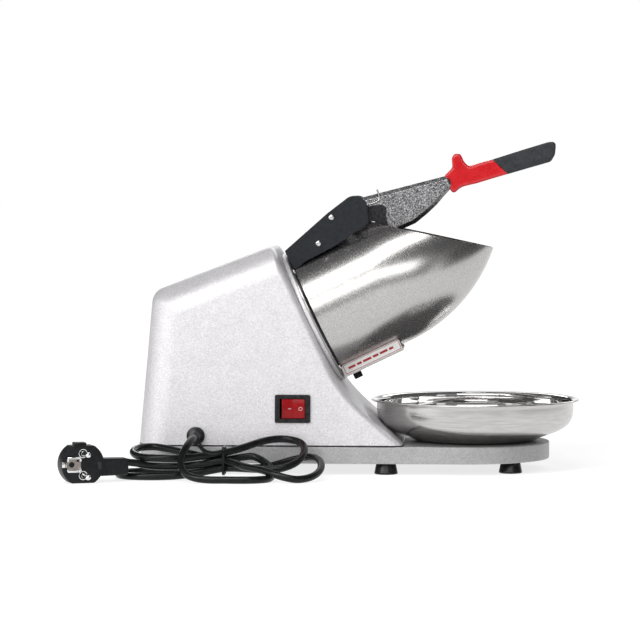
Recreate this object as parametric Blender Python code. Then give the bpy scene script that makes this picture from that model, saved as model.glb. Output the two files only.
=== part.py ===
"""Electric shaved ice machine: cast housing on a tray, tilted ice hopper, hand lever and bowl.

Lengths in this file are millimetres; MM turns them into Blender's metres. The origin is on
the ground under the middle of the machine, +X towards the bowl, +Y away from the switch side.
"""
import bpy
import bmesh
import numpy as np
from math import sin, cos, tan, pi, radians, sqrt
from mathutils import Vector

for old in list(bpy.data.objects):
    bpy.data.objects.remove(old, do_unlink=True)

MM = 0.001
GAP = 0.3

# --- driving dimensions -------------------------------------------------------------------
HALF_WIDTH = 74.0
BASE_REAR_X = -197.0
BASE_NOSE_X = 96.3
BASE_CORNER_R = 34.0
BASE_Z = (10.0, 25.3)

DRAFT = radians(3.0)
SHELL_Z = BASE_Z[1] + GAP
WALL = 3.0
APRON_WALL = 9.0
TOP_EDGE_R = 28.0
FRONT_EDGE_R = 6.0

AXIS_TILT = radians(25.5)
AXIS_ORIGIN = (-41.4, 0.0, 137.8)
FACE_S = -4.5
DRUM_R = 57.0
DRUM_WALL = 1.2
DRUM_STRAIGHT = 68.0
DRUM_END = 178.0
DRUM_ARC_R = 145.0
FLANGE_R = 63.0
MOUTH_TOP = (80.2, -57.0)
MOUTH_TIP = (172.2, 13.0)
DISC_S = (40.0, 43.0)

PIVOT = (-7.0, 0.0, 231.0)
CHEEK_Y = 34.0
CHEEK_T = 2.5
CHEEK_SKIN = 0.9

BOWL_X = 103.0
BOWL_R = 94.2
BOWL_Z = (25.9, 63.6)

SWITCH_X = -58.4
SWITCH_Z = 58.7
ROCKER_TILT = radians(9.0)
ROCKER_AXIS_Y = 3.0

GLAND_X = -144.3
GLAND_Z = 34.6
CORD_D = 6.5

PLUG_CENTRE = (-233.9, -156.0, 16.4)
PLUG_TURN = radians(23.0)


# --- small helpers ------------------------------------------------------------------------
def material(name, colour, roughness, metallic):
    """A Principled material with one colour."""
    made = bpy.data.materials.new(name)
    made.use_nodes = True
    shader = made.node_tree.nodes["Principled BSDF"]
    shader.inputs["Base Color"].default_value = (*colour, 1.0)
    shader.inputs["Roughness"].default_value = roughness
    shader.inputs["Metallic"].default_value = metallic
    return made


def empty(name, place, turn=(0.0, 0.0, 0.0)):
    """A guide that pieces are parented to."""
    guide = bpy.data.objects.new(name, None)
    guide.location = Vector(place) * MM
    guide.rotation_euler = turn
    bpy.context.collection.objects.link(guide)
    return guide


def piece(name, verts, faces, mat=None, parent=None, smooth=35.0):
    """One object from millimetre vertices, with its faces turned outwards."""
    mesh = bpy.data.meshes.new(name)
    bm = bmesh.new()
    made = [bm.verts.new(Vector(v) * MM) for v in verts]
    for face in faces:
        bm.faces.new([made[i] for i in face])
    bmesh.ops.recalc_face_normals(bm, faces=bm.faces)
    bm.to_mesh(mesh)
    bm.free()
    if mat is not None:
        mesh.materials.append(mat)
    mesh.shade_smooth()
    mesh.set_sharp_from_angle(angle=radians(smooth))
    made_object = bpy.data.objects.new(name, mesh)
    bpy.context.collection.objects.link(made_object)
    made_object.parent = parent
    return made_object


def turned(name, profile, steps, mat=None, parent=None):
    """A closed (radius, height) profile turned about the local Z axis."""
    verts, rings = [], []
    for radius, height in profile:
        if radius < 1e-6:
            rings.append([len(verts)] * steps)
            verts.append((0.0, 0.0, height))
            continue
        rings.append(list(range(len(verts), len(verts) + steps)))
        for k in range(steps):
            angle = 2 * pi * k / steps
            verts.append((radius * cos(angle), radius * sin(angle), height))
    faces = []
    for i, ring in enumerate(rings):
        after = rings[(i + 1) % len(rings)]
        for k in range(steps):
            corner = [ring[k], ring[(k + 1) % steps], after[(k + 1) % steps], after[k]]
            corner = list(dict.fromkeys(corner))
            if len(corner) > 2:
                faces.append(corner)
    return piece(name, verts, faces, mat, parent)


def loft(name, rings, mat=None, parent=None, smooth=35.0):
    """Closed loops of equal length joined one after another, capped at both ends."""
    count = len(rings[0])
    verts = [point for ring in rings for point in ring]
    faces = []
    for i in range(len(rings) - 1):
        for k in range(count):
            a, b = i * count + k, i * count + (k + 1) % count
            faces.append([a, b, b + count, a + count])
    faces.append(list(range(count)))
    faces.append(list(range((len(rings) - 1) * count, len(rings) * count)))
    return piece(name, verts, faces, mat, parent, smooth)


def block(name, low, high, mat=None, parent=None, bevel=0.0):
    """A box between two corners, with an optional rounded edge."""
    (x0, y0, z0), (x1, y1, z1) = low, high
    rings = [[(x0, y0, z), (x1, y0, z), (x1, y1, z), (x0, y1, z)] for z in (z0, z1)]
    made = loft(name, rings, mat, parent)
    if bevel:
        round_edges(made, bevel)
    return made


def slab(name, outline, y0, y1, mat=None, parent=None, bevel=0.0):
    """An (x, z) outline made solid between two places along Y."""
    rings = [[(x, y, z) for x, z in outline] for y in (y0, y1)]
    made = loft(name, rings, mat, parent)
    if bevel:
        round_edges(made, bevel)
    return made


def round_edges(target, width, segments=1):
    """A Bevel modifier on the sharp edges."""
    bevel = target.modifiers.new("edges", "BEVEL")
    bevel.width = width * MM
    bevel.segments = segments
    bevel.limit_method = "ANGLE"
    bevel.angle_limit = radians(40.0)


def combine(target, tool, operation="DIFFERENCE"):
    """A Boolean with a hidden helper object."""
    tool.hide_render = True
    tool.display_type = "WIRE"
    step = target.modifiers.new(tool.name, "BOOLEAN")
    step.operation = operation
    step.object = tool
    return target


def arc(centre, radius, start, end, steps):
    """Points on a circle from one angle to another, both in degrees."""
    angles = np.radians(np.linspace(start, end, steps + 1))
    return [(centre[0] + radius * cos(a), centre[1] + radius * sin(a)) for a in angles]


def on_axis(s, w):
    """World (x, z) of a point s along the drive axis and w below it."""
    x = AXIS_ORIGIN[0] + s * cos(AXIS_TILT) + w * sin(AXIS_TILT)
    z = AXIS_ORIGIN[2] + s * sin(AXIS_TILT) - w * cos(AXIS_TILT)
    return x, z


def spline(points, count):
    """Evenly spaced points on a smooth curve through the given ones (Catmull-Rom)."""
    p = np.array(points, float)
    p = np.vstack([2 * p[0] - p[1], p, 2 * p[-1] - p[-2]])
    fine = []
    for i in range(1, len(p) - 2):
        knots = np.cumsum([0] + [np.linalg.norm(p[i + j] - p[i + j - 1]) ** 0.5 for j in (0, 1, 2)])
        for t in np.linspace(knots[1], knots[2], 24, endpoint=False):
            level = [p[i - 1], p[i], p[i + 1], p[i + 2]]
            for depth in (1, 2, 3):
                level = [
                    (level[j] * (knots[j + depth] - t) + level[j + 1] * (t - knots[j]))
                    / (knots[j + depth] - knots[j])
                    for j in range(4 - depth)
                ]
            fine.append(level[0])
    fine = np.array(fine + [p[-2]])
    run = np.concatenate([[0], np.cumsum(np.linalg.norm(np.diff(fine, axis=0), axis=1))])
    places = np.linspace(0, run[-1], count)
    return np.column_stack([np.interp(places, run, fine[:, k]) for k in range(3)])


CAST = material("cast_silver", (0.74, 0.74, 0.75), 0.42, 0.6)
STEEL = material("brushed_steel", (0.62, 0.62, 0.62), 0.28, 1.0)
MIRROR = material("polished_steel", (0.72, 0.72, 0.72), 0.1, 1.0)
ALLOY = material("lever_alloy", (0.55, 0.55, 0.55), 0.45, 1.0)
BLACK_METAL = material("black_metal", (0.02, 0.022, 0.026), 0.4, 0.3)
RED_PLASTIC = material("red_plastic", (0.70, 0.016, 0.026), 0.3, 0.0)
BLACK_PLASTIC = material("black_plastic", (0.03, 0.032, 0.034), 0.45, 0.0)
RUBBER = material("black_rubber", (0.012, 0.012, 0.013), 0.35, 0.0)
ROCKER_RED = material("rocker_red", (0.55, 0.01, 0.015), 0.25, 0.0)
WHITE = material("label_white", (0.85, 0.85, 0.83), 0.5, 0.0)
CORE = material("core_steel", (0.30, 0.29, 0.28), 0.5, 1.0)

DRIVE_TURN = (0.0, pi / 2 - AXIS_TILT, 0.0)
drive_axis = empty("drive_axis", AXIS_ORIGIN, DRIVE_TURN)
lever_pivot = empty("lever_pivot", PIVOT)
press_seat = empty("press_seat", [a - b for a, b in zip(AXIS_ORIGIN, PIVOT)], DRIVE_TURN)
press_seat.parent = lever_pivot
bowl_seat = empty("bowl_seat", (BOWL_X, 0.0, 0.0))


def half_width_at(z):
    """Half width of the housing's drafted side walls at a height."""
    return HALF_WIDTH - (z - BASE_Z[1]) * tan(DRAFT)


switch_seat = empty("switch_seat", (SWITCH_X, -half_width_at(SWITCH_Z), SWITCH_Z), (-DRAFT, 0.0, 0.0))
rocker_axis = empty("rocker_axis", (0.0, ROCKER_AXIS_Y, 0.0))
rocker_axis.parent = switch_seat


# --- base tray, bottom cover and feet -----------------------------------------------------
def base_outline(inset):
    """Plan outline of the base: a half-round nose and two rounded rear corners."""
    corner_x = BASE_REAR_X + BASE_CORNER_R
    corner_y = HALF_WIDTH - BASE_CORNER_R
    corner_r = BASE_CORNER_R - inset
    nose = arc((BASE_NOSE_X, 0.0), HALF_WIDTH - inset, -90, 90, 16)
    left = arc((corner_x, corner_y), corner_r, 90, 180, 5)
    right = arc((corner_x, -corner_y), corner_r, 180, 270, 5)
    return nose + left + right


def level(outline, z):
    return [(x, y, z) for x, y in outline]


FOOT_PLACES = [(-165.0, 60.0), (24.0, 60.0), (134.6, 45.0)]
FOOT_PLACES = [(x, side * y) for x, y in FOOT_PLACES for side in (-1, 1)]
STUD_R = 2.0
STUD_TOP = 18.5
COVER_Z = (BASE_Z[0] + GAP, BASE_Z[0] + GAP + 2.0)
POCKET_Z = 21.8


def make_base():
    """The tray is hollow underneath, with a ledge for the cover and a boss for each foot."""
    ledge_z = COVER_Z[1] + GAP
    rings = [
        level(base_outline(7.0), POCKET_Z),
        level(base_outline(7.0), ledge_z),
        level(base_outline(4.0), ledge_z),
        level(base_outline(4.0), BASE_Z[0]),
        level(base_outline(1.0), BASE_Z[0]),
        level(base_outline(0.0), BASE_Z[0] + 1.0),
        level(base_outline(0.0), BASE_Z[1] - 1.0),
        level(base_outline(1.0), BASE_Z[1]),
    ]
    tray = loft("base_tray", rings, CAST)
    for k, (x, y) in enumerate(FOOT_PLACES):
        profile = [(STUD_R + GAP, ledge_z), (6.0, ledge_z), (6.0, POCKET_Z + 1), (0, POCKET_Z + 1),
                   (0, STUD_TOP + 1), (STUD_R + GAP, STUD_TOP + 1)]
        boss = turned(f"boss_{k}", profile, 12)
        boss.location = (x * MM, y * MM, 0)
        combine(tray, boss, "UNION")
    opening = block("motor_opening", (-110, -44, 15), (-18, 44, 30))
    combine(tray, opening)

    rings = [level(base_outline(4.0 + GAP), z) for z in COVER_Z]
    cover = loft("bottom_cover", rings, BLACK_METAL)
    for k, (x, y) in enumerate(FOOT_PLACES):
        drill = turned(f"cover_hole_{k}", [(0, 8), (STUD_R + GAP, 8), (STUD_R + GAP, 15), (0, 15)], 12)
        drill.location = (x * MM, y * MM, 0)
        combine(cover, drill)
    for k in range(5):
        slot = block(f"vent_{k}", (-150 + 12 * k, -25, 8), (-145 + 12 * k, 25, 15))
        combine(cover, slot)


def make_feet():
    profile = [(0, 0), (9.6, 0), (10.5, 0.9), (8.5, 10.0), (STUD_R, 10.0), (STUD_R, STUD_TOP), (0, STUD_TOP)]
    for k, (x, y) in enumerate(FOOT_PLACES):
        foot = turned(f"foot_{k + 1}", profile, 16, RUBBER)
        foot.location = (x * MM, y * MM, 0)


# --- housing shell ------------------------------------------------------------------------
def meet(p, d, q, e):
    """Where two lines, each a point and a direction, cross."""
    t = ((q[0] - p[0]) * e[1] - (q[1] - p[1]) * e[0]) / (d[0] * e[1] - d[1] * e[0])
    return np.array([p[0] + d[0] * t, p[1] + d[1] * t])


def fillet(corner, d_in, d_out, radius, steps):
    """Arc that rounds a corner between two unit directions, turning right."""
    n_in = np.array([d_in[1], -d_in[0]])
    n_out = np.array([d_out[1], -d_out[0]])
    half = np.arccos(np.clip(np.dot(d_in, d_out), -1, 1)) / 2
    centre = corner - d_in * radius * tan(half) + n_in * radius
    points = []
    for t in np.linspace(0, 1, steps + 1):
        n = n_in * sin((1 - t) * 2 * half) / sin(2 * half) + n_out * sin(t * 2 * half) / sin(2 * half)
        points.append(centre - n * radius)
    return points


REAR_POINT = np.array([-197.2, 25.0])
REAR_DIR = np.array([0.0857, 1.0]) / np.hypot(0.0857, 1.0)
TOP_POINT = np.array([-186.2, 161.2])
TOP_DIR = np.array([1.0, 0.385]) / np.hypot(1.0, 0.385)
FACE_DIR = np.array([sin(AXIS_TILT), -cos(AXIS_TILT)])
APRON_FOOT = np.array([39.5, SHELL_Z])
APRON_DIR = np.array([0.744, -0.668])
FACE_END_W = 48.0
APRON_STEPS = 8


def apron_curve(shift, extra):
    """The hollow front below the hopper: a Bezier run, moved inwards and cut off at the foot."""
    start = np.array(on_axis(FACE_S, FACE_END_W))
    a, b, c, e = start, start + FACE_DIR * 31, APRON_FOOT - APRON_DIR * 31, APRON_FOOT
    dense = []
    for t in np.linspace(0, 1.3, 66):
        if t <= 1:
            p = a * (1 - t) ** 3 + b * 3 * t * (1 - t) ** 2 + c * 3 * t * t * (1 - t) + e * t ** 3
            d = (b - a) * (1 - t) ** 2 + (c - b) * 2 * t * (1 - t) + (e - c) * t * t
        else:
            p, d = e + APRON_DIR * 100 * (t - 1), APRON_DIR
        d = d / np.linalg.norm(d)
        dense.append(p + np.array([d[1], -d[0]]) * (shift + extra * min(1.0, 3 * t)))
    dense = np.array(dense)
    last = int(np.argmax(dense[:, 1] < SHELL_Z))
    share = (dense[last - 1, 1] - SHELL_Z) / (dense[last - 1, 1] - dense[last, 1])
    dense[last] = dense[last - 1] + (dense[last] - dense[last - 1]) * share
    dense = dense[:last + 1]
    run = np.concatenate([[0], np.cumsum(np.linalg.norm(np.diff(dense, axis=0), axis=1))])
    places = np.linspace(0, run[-1], APRON_STEPS + 1)
    return list(zip(np.interp(places, run, dense[:, 0]), np.interp(places, run, dense[:, 1])))


def edge_drop(radius, distance):
    """How far a rounded edge falls back from its face, at a distance inside the edge's border."""
    left = radius - min(max(distance, 0.0), radius)
    return radius - sqrt(radius ** 2 - left ** 2)


def inward_normal(direction):
    return np.array([direction[1], -direction[0]])


FRONT_STEPS = 4
FRONT_RUN = TOP_EDGE_R + 14.0


def housing_profile(skin, edge):
    """(x, y, z) round the housing from the rear foot, over the top, to the apron's foot.

    skin is 0 for the outside and 1 for the inside; edge runs from 0, where the surface is at
    full size, to 1, at the border of the flat side.
    """
    inset = WALL * skin
    back_r, front_r = TOP_EDGE_R - inset, FRONT_EDGE_R - inset
    back, front = back_r * edge, front_r * edge
    rear_p = REAR_POINT + inward_normal(REAR_DIR) * (inset + back)
    top_p = TOP_POINT + inward_normal(TOP_DIR) * (inset + back)
    face_p = np.array(on_axis(FACE_S, 0.0)) + inward_normal(FACE_DIR) * (inset + front)
    foot = rear_p + REAR_DIR * (SHELL_Z - rear_p[1]) / REAR_DIR[1]
    rear_top = meet(rear_p, REAR_DIR, top_p, TOP_DIR)
    top_front = meet(top_p, TOP_DIR, face_p, FACE_DIR)

    rows = [(foot, back)]
    radius = max(15.0 - inset - back, 3.0)
    rows += [(p, back) for p in fillet(rear_top, REAR_DIR, TOP_DIR, radius, 4)]
    radius = max(front_r - back, 1.0)
    corner = fillet(top_front, TOP_DIR, FACE_DIR, radius, 3)
    rows += [(p, from_top(p) - inset) for p in corner]
    places = [(p, back_gap, from_face(p) - inset) for p, back_gap in rows]

    last = corner[-1]
    run = FRONT_RUN - (from_top(last) - inset)
    for k in range(1, FRONT_STEPS + 1):
        p = last + FACE_DIR * run * (k / FRONT_STEPS) ** 1.3
        places.append((p, from_top(p) - inset, front))
    for x, z in apron_curve(inset + front, (APRON_WALL - WALL) * skin):
        places.append((np.array([x, z]), back_r, front))

    profile = []
    for p, back_gap, front_gap in places:
        drop = edge_drop(front_r, front_gap)
        y = half_width_at(p[1]) - inset - drop - edge_drop(back_r, back_gap - drop)
        profile.append((p[0], y, p[1]))
    return profile


def from_top(p):
    """Distance of an (x, z) point below the housing's sloping top."""
    return float(np.dot(p - TOP_POINT, inward_normal(TOP_DIR)))


def from_face(p):
    """Distance of an (x, z) point behind the plane that the hopper stands on."""
    return float(np.dot(p - np.array(on_axis(FACE_S, 0.0)), inward_normal(FACE_DIR)))


EDGE_STEPS = 5


def housing_grid(skin):
    """Rows of points across the housing, from the near side to the far side."""
    rows = []
    for k in range(EDGE_STEPS + 1):
        angle = pi / 2 * (1 - k / EDGE_STEPS)
        rows.append([(x, -y, z) for x, y, z in housing_profile(skin, 1 - cos(angle))])
    return rows + [[(x, -y, z) for x, y, z in row] for row in reversed(rows)]


def make_housing():
    verts, faces, grids = [], [], []
    for skin in (0, 1):
        rows = housing_grid(skin)
        start = len(verts)
        count = len(rows[0])
        verts += [p for row in rows for p in row]
        index = [[start + r * count + i for i in range(count)] for r in range(len(rows))]
        grids.append(index)
        for r in range(len(rows) - 1):
            for i in range(count - 1):
                faces.append([index[r][i], index[r][i + 1], index[r + 1][i + 1], index[r + 1][i]])
        faces.append(index[0])
        faces.append(index[-1])
    outer, inner = grids
    for r in range(len(outer) - 1):
        for end in (0, -1):
            faces.append([outer[r][end], outer[r + 1][end], inner[r + 1][end], inner[r][end]])
    for r in (0, -1):
        faces.append([outer[r][0], outer[r][-1], inner[r][-1], inner[r][0]])
    shell = piece("housing_shell", verts, faces, CAST)

    bore = turned("shaft_bore", [(0, -20), (20, -20), (20, 5), (0, 5)], 24, parent=drive_axis)
    combine(shell, bore)
    seat_s = FACE_S + GAP / 2
    seat = turned("plate_seat", [(0, seat_s), (FLANGE_R + 0.4, seat_s), (FLANGE_R + 0.4, 30), (0, 30)], 40,
                  parent=drive_axis)
    combine(shell, seat)
    cutout = block("switch_cutout", (-14.6, -6, -11.4), (14.6, 8, 11.4), parent=switch_seat)
    combine(shell, cutout)
    gland_hole = turned("gland_hole", [(0, -8), (5.6, -8), (5.6, 8), (0, 8)], 16)
    gland_hole.location = Vector((GLAND_X, -half_width_at(GLAND_Z), GLAND_Z)) * MM
    gland_hole.rotation_euler = (pi / 2, 0, 0)
    combine(shell, gland_hole)
    nest = [(0, 10), (BOWL_FLAT + 1.5, 10), (BOWL_FLAT + 1.5, 25.5)]
    nest += [(r + 1.5, z) for r, z in BOWL_CURVE] + [(BOWL_R + 1.5, 52), (BOWL_R + 1.5, 70), (0, 70)]
    combine(shell, turned("bowl_nest", nest, 40, parent=bowl_seat))


# --- hopper drum, face plate and discharge guard -------------------------------------------
def drum_radius(s):
    if s <= DRUM_STRAIGHT:
        return DRUM_R
    return DRUM_R - (DRUM_ARC_R - sqrt(DRUM_ARC_R ** 2 - (s - DRUM_STRAIGHT) ** 2))


CHUTE_S = (2.0, 60.0)
CHUTE_Y = 28.0
CHUTE_W = 61.0
CHUTE_T = 1.2


def make_drum():
    """A spun pot whose nose is an arc about the lever's pivot, cut off by the slanted mouth."""
    plate = [(20, FACE_S + GAP), (62.4, FACE_S + GAP), (FLANGE_R, FACE_S + GAP + 0.6),
             (FLANGE_R, -GAP), (20, -GAP)]
    turned("face_plate", plate, 40, CAST, drive_axis)

    stations = list(np.linspace(DRUM_STRAIGHT, DRUM_END, 8))
    outer = [(drum_radius(s), s) for s in stations]
    inner = [(drum_radius(s) - DRUM_WALL, s) for s in reversed(stations)]
    profile = [(14, 0), (FLANGE_R, 0), (FLANGE_R, DRUM_WALL), (DRUM_R, DRUM_WALL)] + outer
    profile += inner + [(DRUM_R - DRUM_WALL, DRUM_WALL + 0.6), (14, DRUM_WALL + 0.6)]
    drum = turned("hopper_drum", profile, 40, STEEL, drive_axis)

    (s0, w0), (s1, w1) = MOUTH_TOP, MOUTH_TIP
    slope = (w1 - w0) / (s1 - s0)
    low = (s0 - 20, w0 - 20 * slope)
    high = (s0 + 190, w0 + 190 * slope)
    outline = [low, high, (high[0], low[1] - 60), (low[0], low[1] - 60)]
    rings = [[(w, y, s) for s, w in outline] for y in (-90, 90)]
    mouth = loft("mouth_cut", rings, parent=drive_axis)
    combine(drum, mouth)
    outlet = block("outlet_cut", (40, -25, 20), (75, 25, 38), parent=drive_axis)
    combine(drum, outlet)


def make_chute():
    """Two side walls joined by a strap at the front and one at the back, open between them."""
    clear = DRUM_R + GAP
    y_walls = (CHUTE_Y - CHUTE_T, CHUTE_Y)
    w_in = [sqrt(clear ** 2 - y ** 2) + 0.1 for y in y_walls]
    s0, s1 = CHUTE_S
    walls = []
    for side in (-1, 1):
        ring = [(w_in[0], side * y_walls[0]), (CHUTE_W, side * y_walls[0]),
                (CHUTE_W, side * y_walls[1]), (w_in[0], side * y_walls[1])]
        rings = [[(w, y, s) for w, y in ring] for s in (s0, s1)]
        walls.append(rings)
    chute = loft("outlet_chute", walls[0], STEEL, drive_axis)
    far = loft("chute_far_wall", walls[1], parent=drive_axis)
    combine(chute, far, "UNION")
    for k, (a, b) in enumerate(((s0, 18.0), (56.0, s1))):
        strap = block(f"chute_strap_{k}", (CHUTE_W - 1.6, -CHUTE_Y + 0.4, a), (CHUTE_W - 0.3, CHUTE_Y - 0.4, b),
                      parent=drive_axis)
        combine(chute, strap, "UNION")

    block("chute_label", (49.6, -CHUTE_Y - GAP - 0.6, 3.5), (59.4, -CHUTE_Y - GAP, 59.5), WHITE,
          drive_axis)
    bolt_profile = [(0, 0), (3.4, 0), (4.0, 0.6), (4.0, 5.4), (3.4, 6.0), (2.0, 6.0), (1.8, 3.4), (0, 3.4)]
    bolt = turned("chute_bolt", bolt_profile, 18, BLACK_METAL, drive_axis)
    bolt.location = Vector((CHUTE_W + GAP, 0.0, 11.5)) * MM
    bolt.rotation_euler = (0, pi / 2, 0)


FLANGE_SCREW_R = 60.2
FLANGE_SCREW_ANGLES = {-1: radians(42.0), 1: radians(34.0)}


def make_flange_screws():
    profile = [(0, 0), (2.3, 0), (2.3, 0.9), (1.5, 1.6), (0, 1.7)]
    number = 1
    for top, angle in FLANGE_SCREW_ANGLES.items():
        for side in (-1, 1):
            screw = turned(f"flange_screw_{number}", profile, 12, STEEL, drive_axis)
            place = (top * FLANGE_SCREW_R * cos(angle), side * FLANGE_SCREW_R * sin(angle), DRUM_WALL + GAP)
            screw.location = Vector(place) * MM
            number += 1


# --- motor, shaft and blade disc ------------------------------------------------------------
MOTOR_R = 42.0
SHAFT_R = 6.5
SHAFT_TIP_R = 5.0


def make_motor():
    inside = FACE_S - WALL - GAP
    bell = [(16.3, inside - 10.5), (16.3, inside), (MOTOR_R, inside), (MOTOR_R, inside - 14),
            (MOTOR_R - 4, inside - 14), (MOTOR_R - 4, inside - 4), (20, inside - 4), (20, inside - 12),
            (10, inside - 12), (10, inside - 10.5)]
    turned("motor_front_bell", bell, 24, ALLOY, drive_axis)
    can_s = (inside - 14 - GAP, -86.0)
    can = [(MOTOR_R, can_s[0]), (MOTOR_R - 2, can_s[0]), (MOTOR_R - 2, can_s[1]), (MOTOR_R, can_s[1])]
    turned("motor_can", can, 24, BLACK_METAL, drive_axis)
    core = [(MOTOR_R - 2.3, -34), (28, -34), (28, -74), (MOTOR_R - 2.3, -74)]
    turned("stator_core", core, 24, CORE, drive_axis)
    end = -86.0 - GAP
    rear = [(MOTOR_R, end), (MOTOR_R - 4, end), (MOTOR_R - 4, end - 10), (20, end - 10), (20, end - 3),
            (14.3, end - 3), (14.3, end - 12), (9, end - 12), (9, end - 14), (MOTOR_R, end - 14)]
    turned("motor_rear_bell", rear, 24, ALLOY, drive_axis)

    hub_s = 28.0
    shaft = [(0, -118), (SHAFT_TIP_R, -118), (SHAFT_TIP_R, -104), (SHAFT_R, -104), (SHAFT_R, hub_s - GAP),
             (SHAFT_TIP_R, hub_s - GAP), (SHAFT_TIP_R, 47.0), (0, 47.0)]
    turned("drive_shaft", shaft, 20, STEEL, drive_axis)
    rotor = [(SHAFT_R + GAP, -33), (26, -33), (26, -75), (SHAFT_R + GAP, -75)]
    turned("rotor_core", rotor, 24, CORE, drive_axis)
    ring = [(SHAFT_R + GAP, inside - 10), (16, inside - 10), (16, inside - 1), (SHAFT_R + GAP, inside - 1)]
    turned("front_bearing", ring, 24, STEEL, drive_axis)
    ring = [(SHAFT_R + GAP, end - 11.7), (14, end - 11.7), (14, end - 3.7), (SHAFT_R + GAP, end - 3.7)]
    turned("rear_bearing", ring, 24, STEEL, drive_axis)
    seal = [(SHAFT_R + GAP, -3.9), (19.7, -3.9), (19.7, -0.6), (13.5, -0.6), (12.0, 3.0), (SHAFT_R + GAP, 3.0)]
    turned("shaft_seal", seal, 24, RUBBER, drive_axis)

    hub = [(SHAFT_TIP_R + GAP, -117), (10, -117), (10, -105), (SHAFT_TIP_R + GAP, -105)]
    fan = turned("cooling_fan", hub, 24, BLACK_PLASTIC, drive_axis)
    for k in range(7):
        angle = 2 * pi * k / 7
        blade = block(f"fan_blade_{k}", (9, -0.8, -116), (30, 0.8, -106), parent=drive_axis)
        blade.rotation_euler = (0, 0, angle)
        combine(fan, blade, "UNION")


BLADE_COUNT = 3


def make_disc():
    s0, s1 = DISC_S
    bore = SHAFT_TIP_R + GAP
    profile = [(bore, 28), (13, 28), (13, s0), (54.6, s0), (54.6, s1), (bore, s1)]
    disc = turned("blade_disc", profile, 36, STEEL, drive_axis)
    for k in range(BLADE_COUNT):
        angle = 2 * pi * k / BLADE_COUNT + 0.3
        slot = block(f"blade_slot_{k}", (17, -7, s0 - 2), (51, 0, s1 + 2), parent=drive_axis)
        slot.rotation_euler = (0, 0, angle)
        combine(disc, slot)
        lift = s1 + GAP
        edge = [(-3.0, lift), (10.0, lift), (10.0, lift + 1.5), (0.0, lift + 1.5)]
        rings = [[(x, y, z) for y, z in edge] for x in (17.5, 50.5)]
        blade = loft(f"blade_{k + 1}", rings, STEEL, drive_axis)
        blade.rotation_euler = (0, 0, angle)
    nut_bore = bore / cos(pi / 6) + 0.1
    nut = [(nut_bore, s1 + GAP), (9.4, s1 + GAP), (9.4, s1 + 3.0), (8.2, s1 + 4.2), (nut_bore, s1 + 4.2)]
    turned("hub_nut", nut, 6, STEEL, drive_axis)


# --- bracket ---------------------------------------------------------------------------------
CHEEK_SCREWS = [(-25.9, 227.7), (-37.5, 204.4)]
BLOCK_ARCH_R = 59.0


def block_section(half, s_low, s_top, w_top):
    """A slice of the bracket's block: arched over the drum below, straight above, leaning forwards."""
    spread = np.arcsin(half / BLOCK_ARCH_R)
    arch = [(-BLOCK_ARCH_R * cos(a), BLOCK_ARCH_R * sin(a)) for a in np.linspace(-spread, spread, 9)]
    w_low = arch[0][0]
    lean = (s_top - s_low) / (w_low - w_top)
    return [(w, y, s_low + lean * (w_low - w)) for w, y in arch + [(w_top, half), (w_top, -half)]]


def make_bracket():
    """Two cheeks bolted to a block that stands on the face plate and the housing."""
    top = arc((-5.2, 235.0), 12.0, 135, -8, 8)
    foot_s = DRUM_WALL + 2 * GAP
    outline = [on_axis(foot_s, -65.2), (-29.3, 231.6)] + top
    outline += [(7.9, 222.5), (-22.3, 202.1), (-49.8, 187.7), on_axis(foot_s, -45.0)]
    relief = turned("drum_relief", [(0, -70), (DRUM_R + 0.4, -70), (DRUM_R + 0.5, 120), (0, 120)], 40,
                    parent=drive_axis)
    for name, side in (("bracket_cheek_near", -1), ("bracket_cheek_far", 1)):
        y0, y1 = sorted((side * CHEEK_Y, side * (CHEEK_Y - CHEEK_T)))
        slab(name, outline, y0, y1, BLACK_METAL, bevel=0.5)
        cheek = combine(bpy.data.objects[name], relief)
        drill = turned(f"{name}_pin_hole", [(0, 0), (4.3, 0), (4.3, 9), (0, 9)], 16)
        drill.location = Vector((PIVOT[0], side * (CHEEK_Y - CHEEK_SKIN), PIVOT[2])) * MM
        drill.rotation_euler = (side * pi / 2, 0, 0)
        combine(cheek, drill)
        for k, (x, z) in enumerate(CHEEK_SCREWS):
            hole = turned(f"{name}_screw_hole_{k}", [(0, -6), (1.8, -6), (1.8, 6), (0, 6)], 12)
            hole.location = Vector((x, side * (CHEEK_Y - CHEEK_T / 2), z)) * MM
            hole.rotation_euler = (pi / 2, 0, 0)
            combine(cheek, hole)

    inside = CHEEK_Y - CHEEK_T - GAP
    rings = [block_section(inside, 4.0, 4.0, -65.0), block_section(inside, 46.0, 56.0, -78.0)]
    bracket = loft("bracket_block", rings, BLACK_METAL, drive_axis)
    for k, (x, z) in enumerate(CHEEK_SCREWS):
        for side in (-1, 1):
            hole = turned(f"block_hole_{k}_{side}", [(0, -10), (1.8, -10), (1.8, 10), (0, 10)], 12)
            hole.location = Vector((x, side * inside, z)) * MM
            hole.rotation_euler = (pi / 2, 0, 0)
            combine(bracket, hole)

    number = 1
    shank = [(0, 2.2), (1.6, 2.0), (2.75, 0.8), (2.75, 0.0), (1.5, 0.0), (1.5, -9.0), (0, -9.0)]
    for x, z in CHEEK_SCREWS:
        for side in (-1, 1):
            screw = turned(f"cheek_screw_{number}", shank, 12, STEEL)
            screw.location = Vector((x, side * (CHEEK_Y + GAP), z)) * MM
            screw.rotation_euler = (-side * pi / 2, 0, 0)
            number += 1


SPRING_LEG = [(9.0, -14.9, 7.6), (18.0, -14.4, 9.4), (22.8, -14.3, 12.0), (23.2, -14.3, 16.0), (21.2, -14.3, 21.5)]


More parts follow.
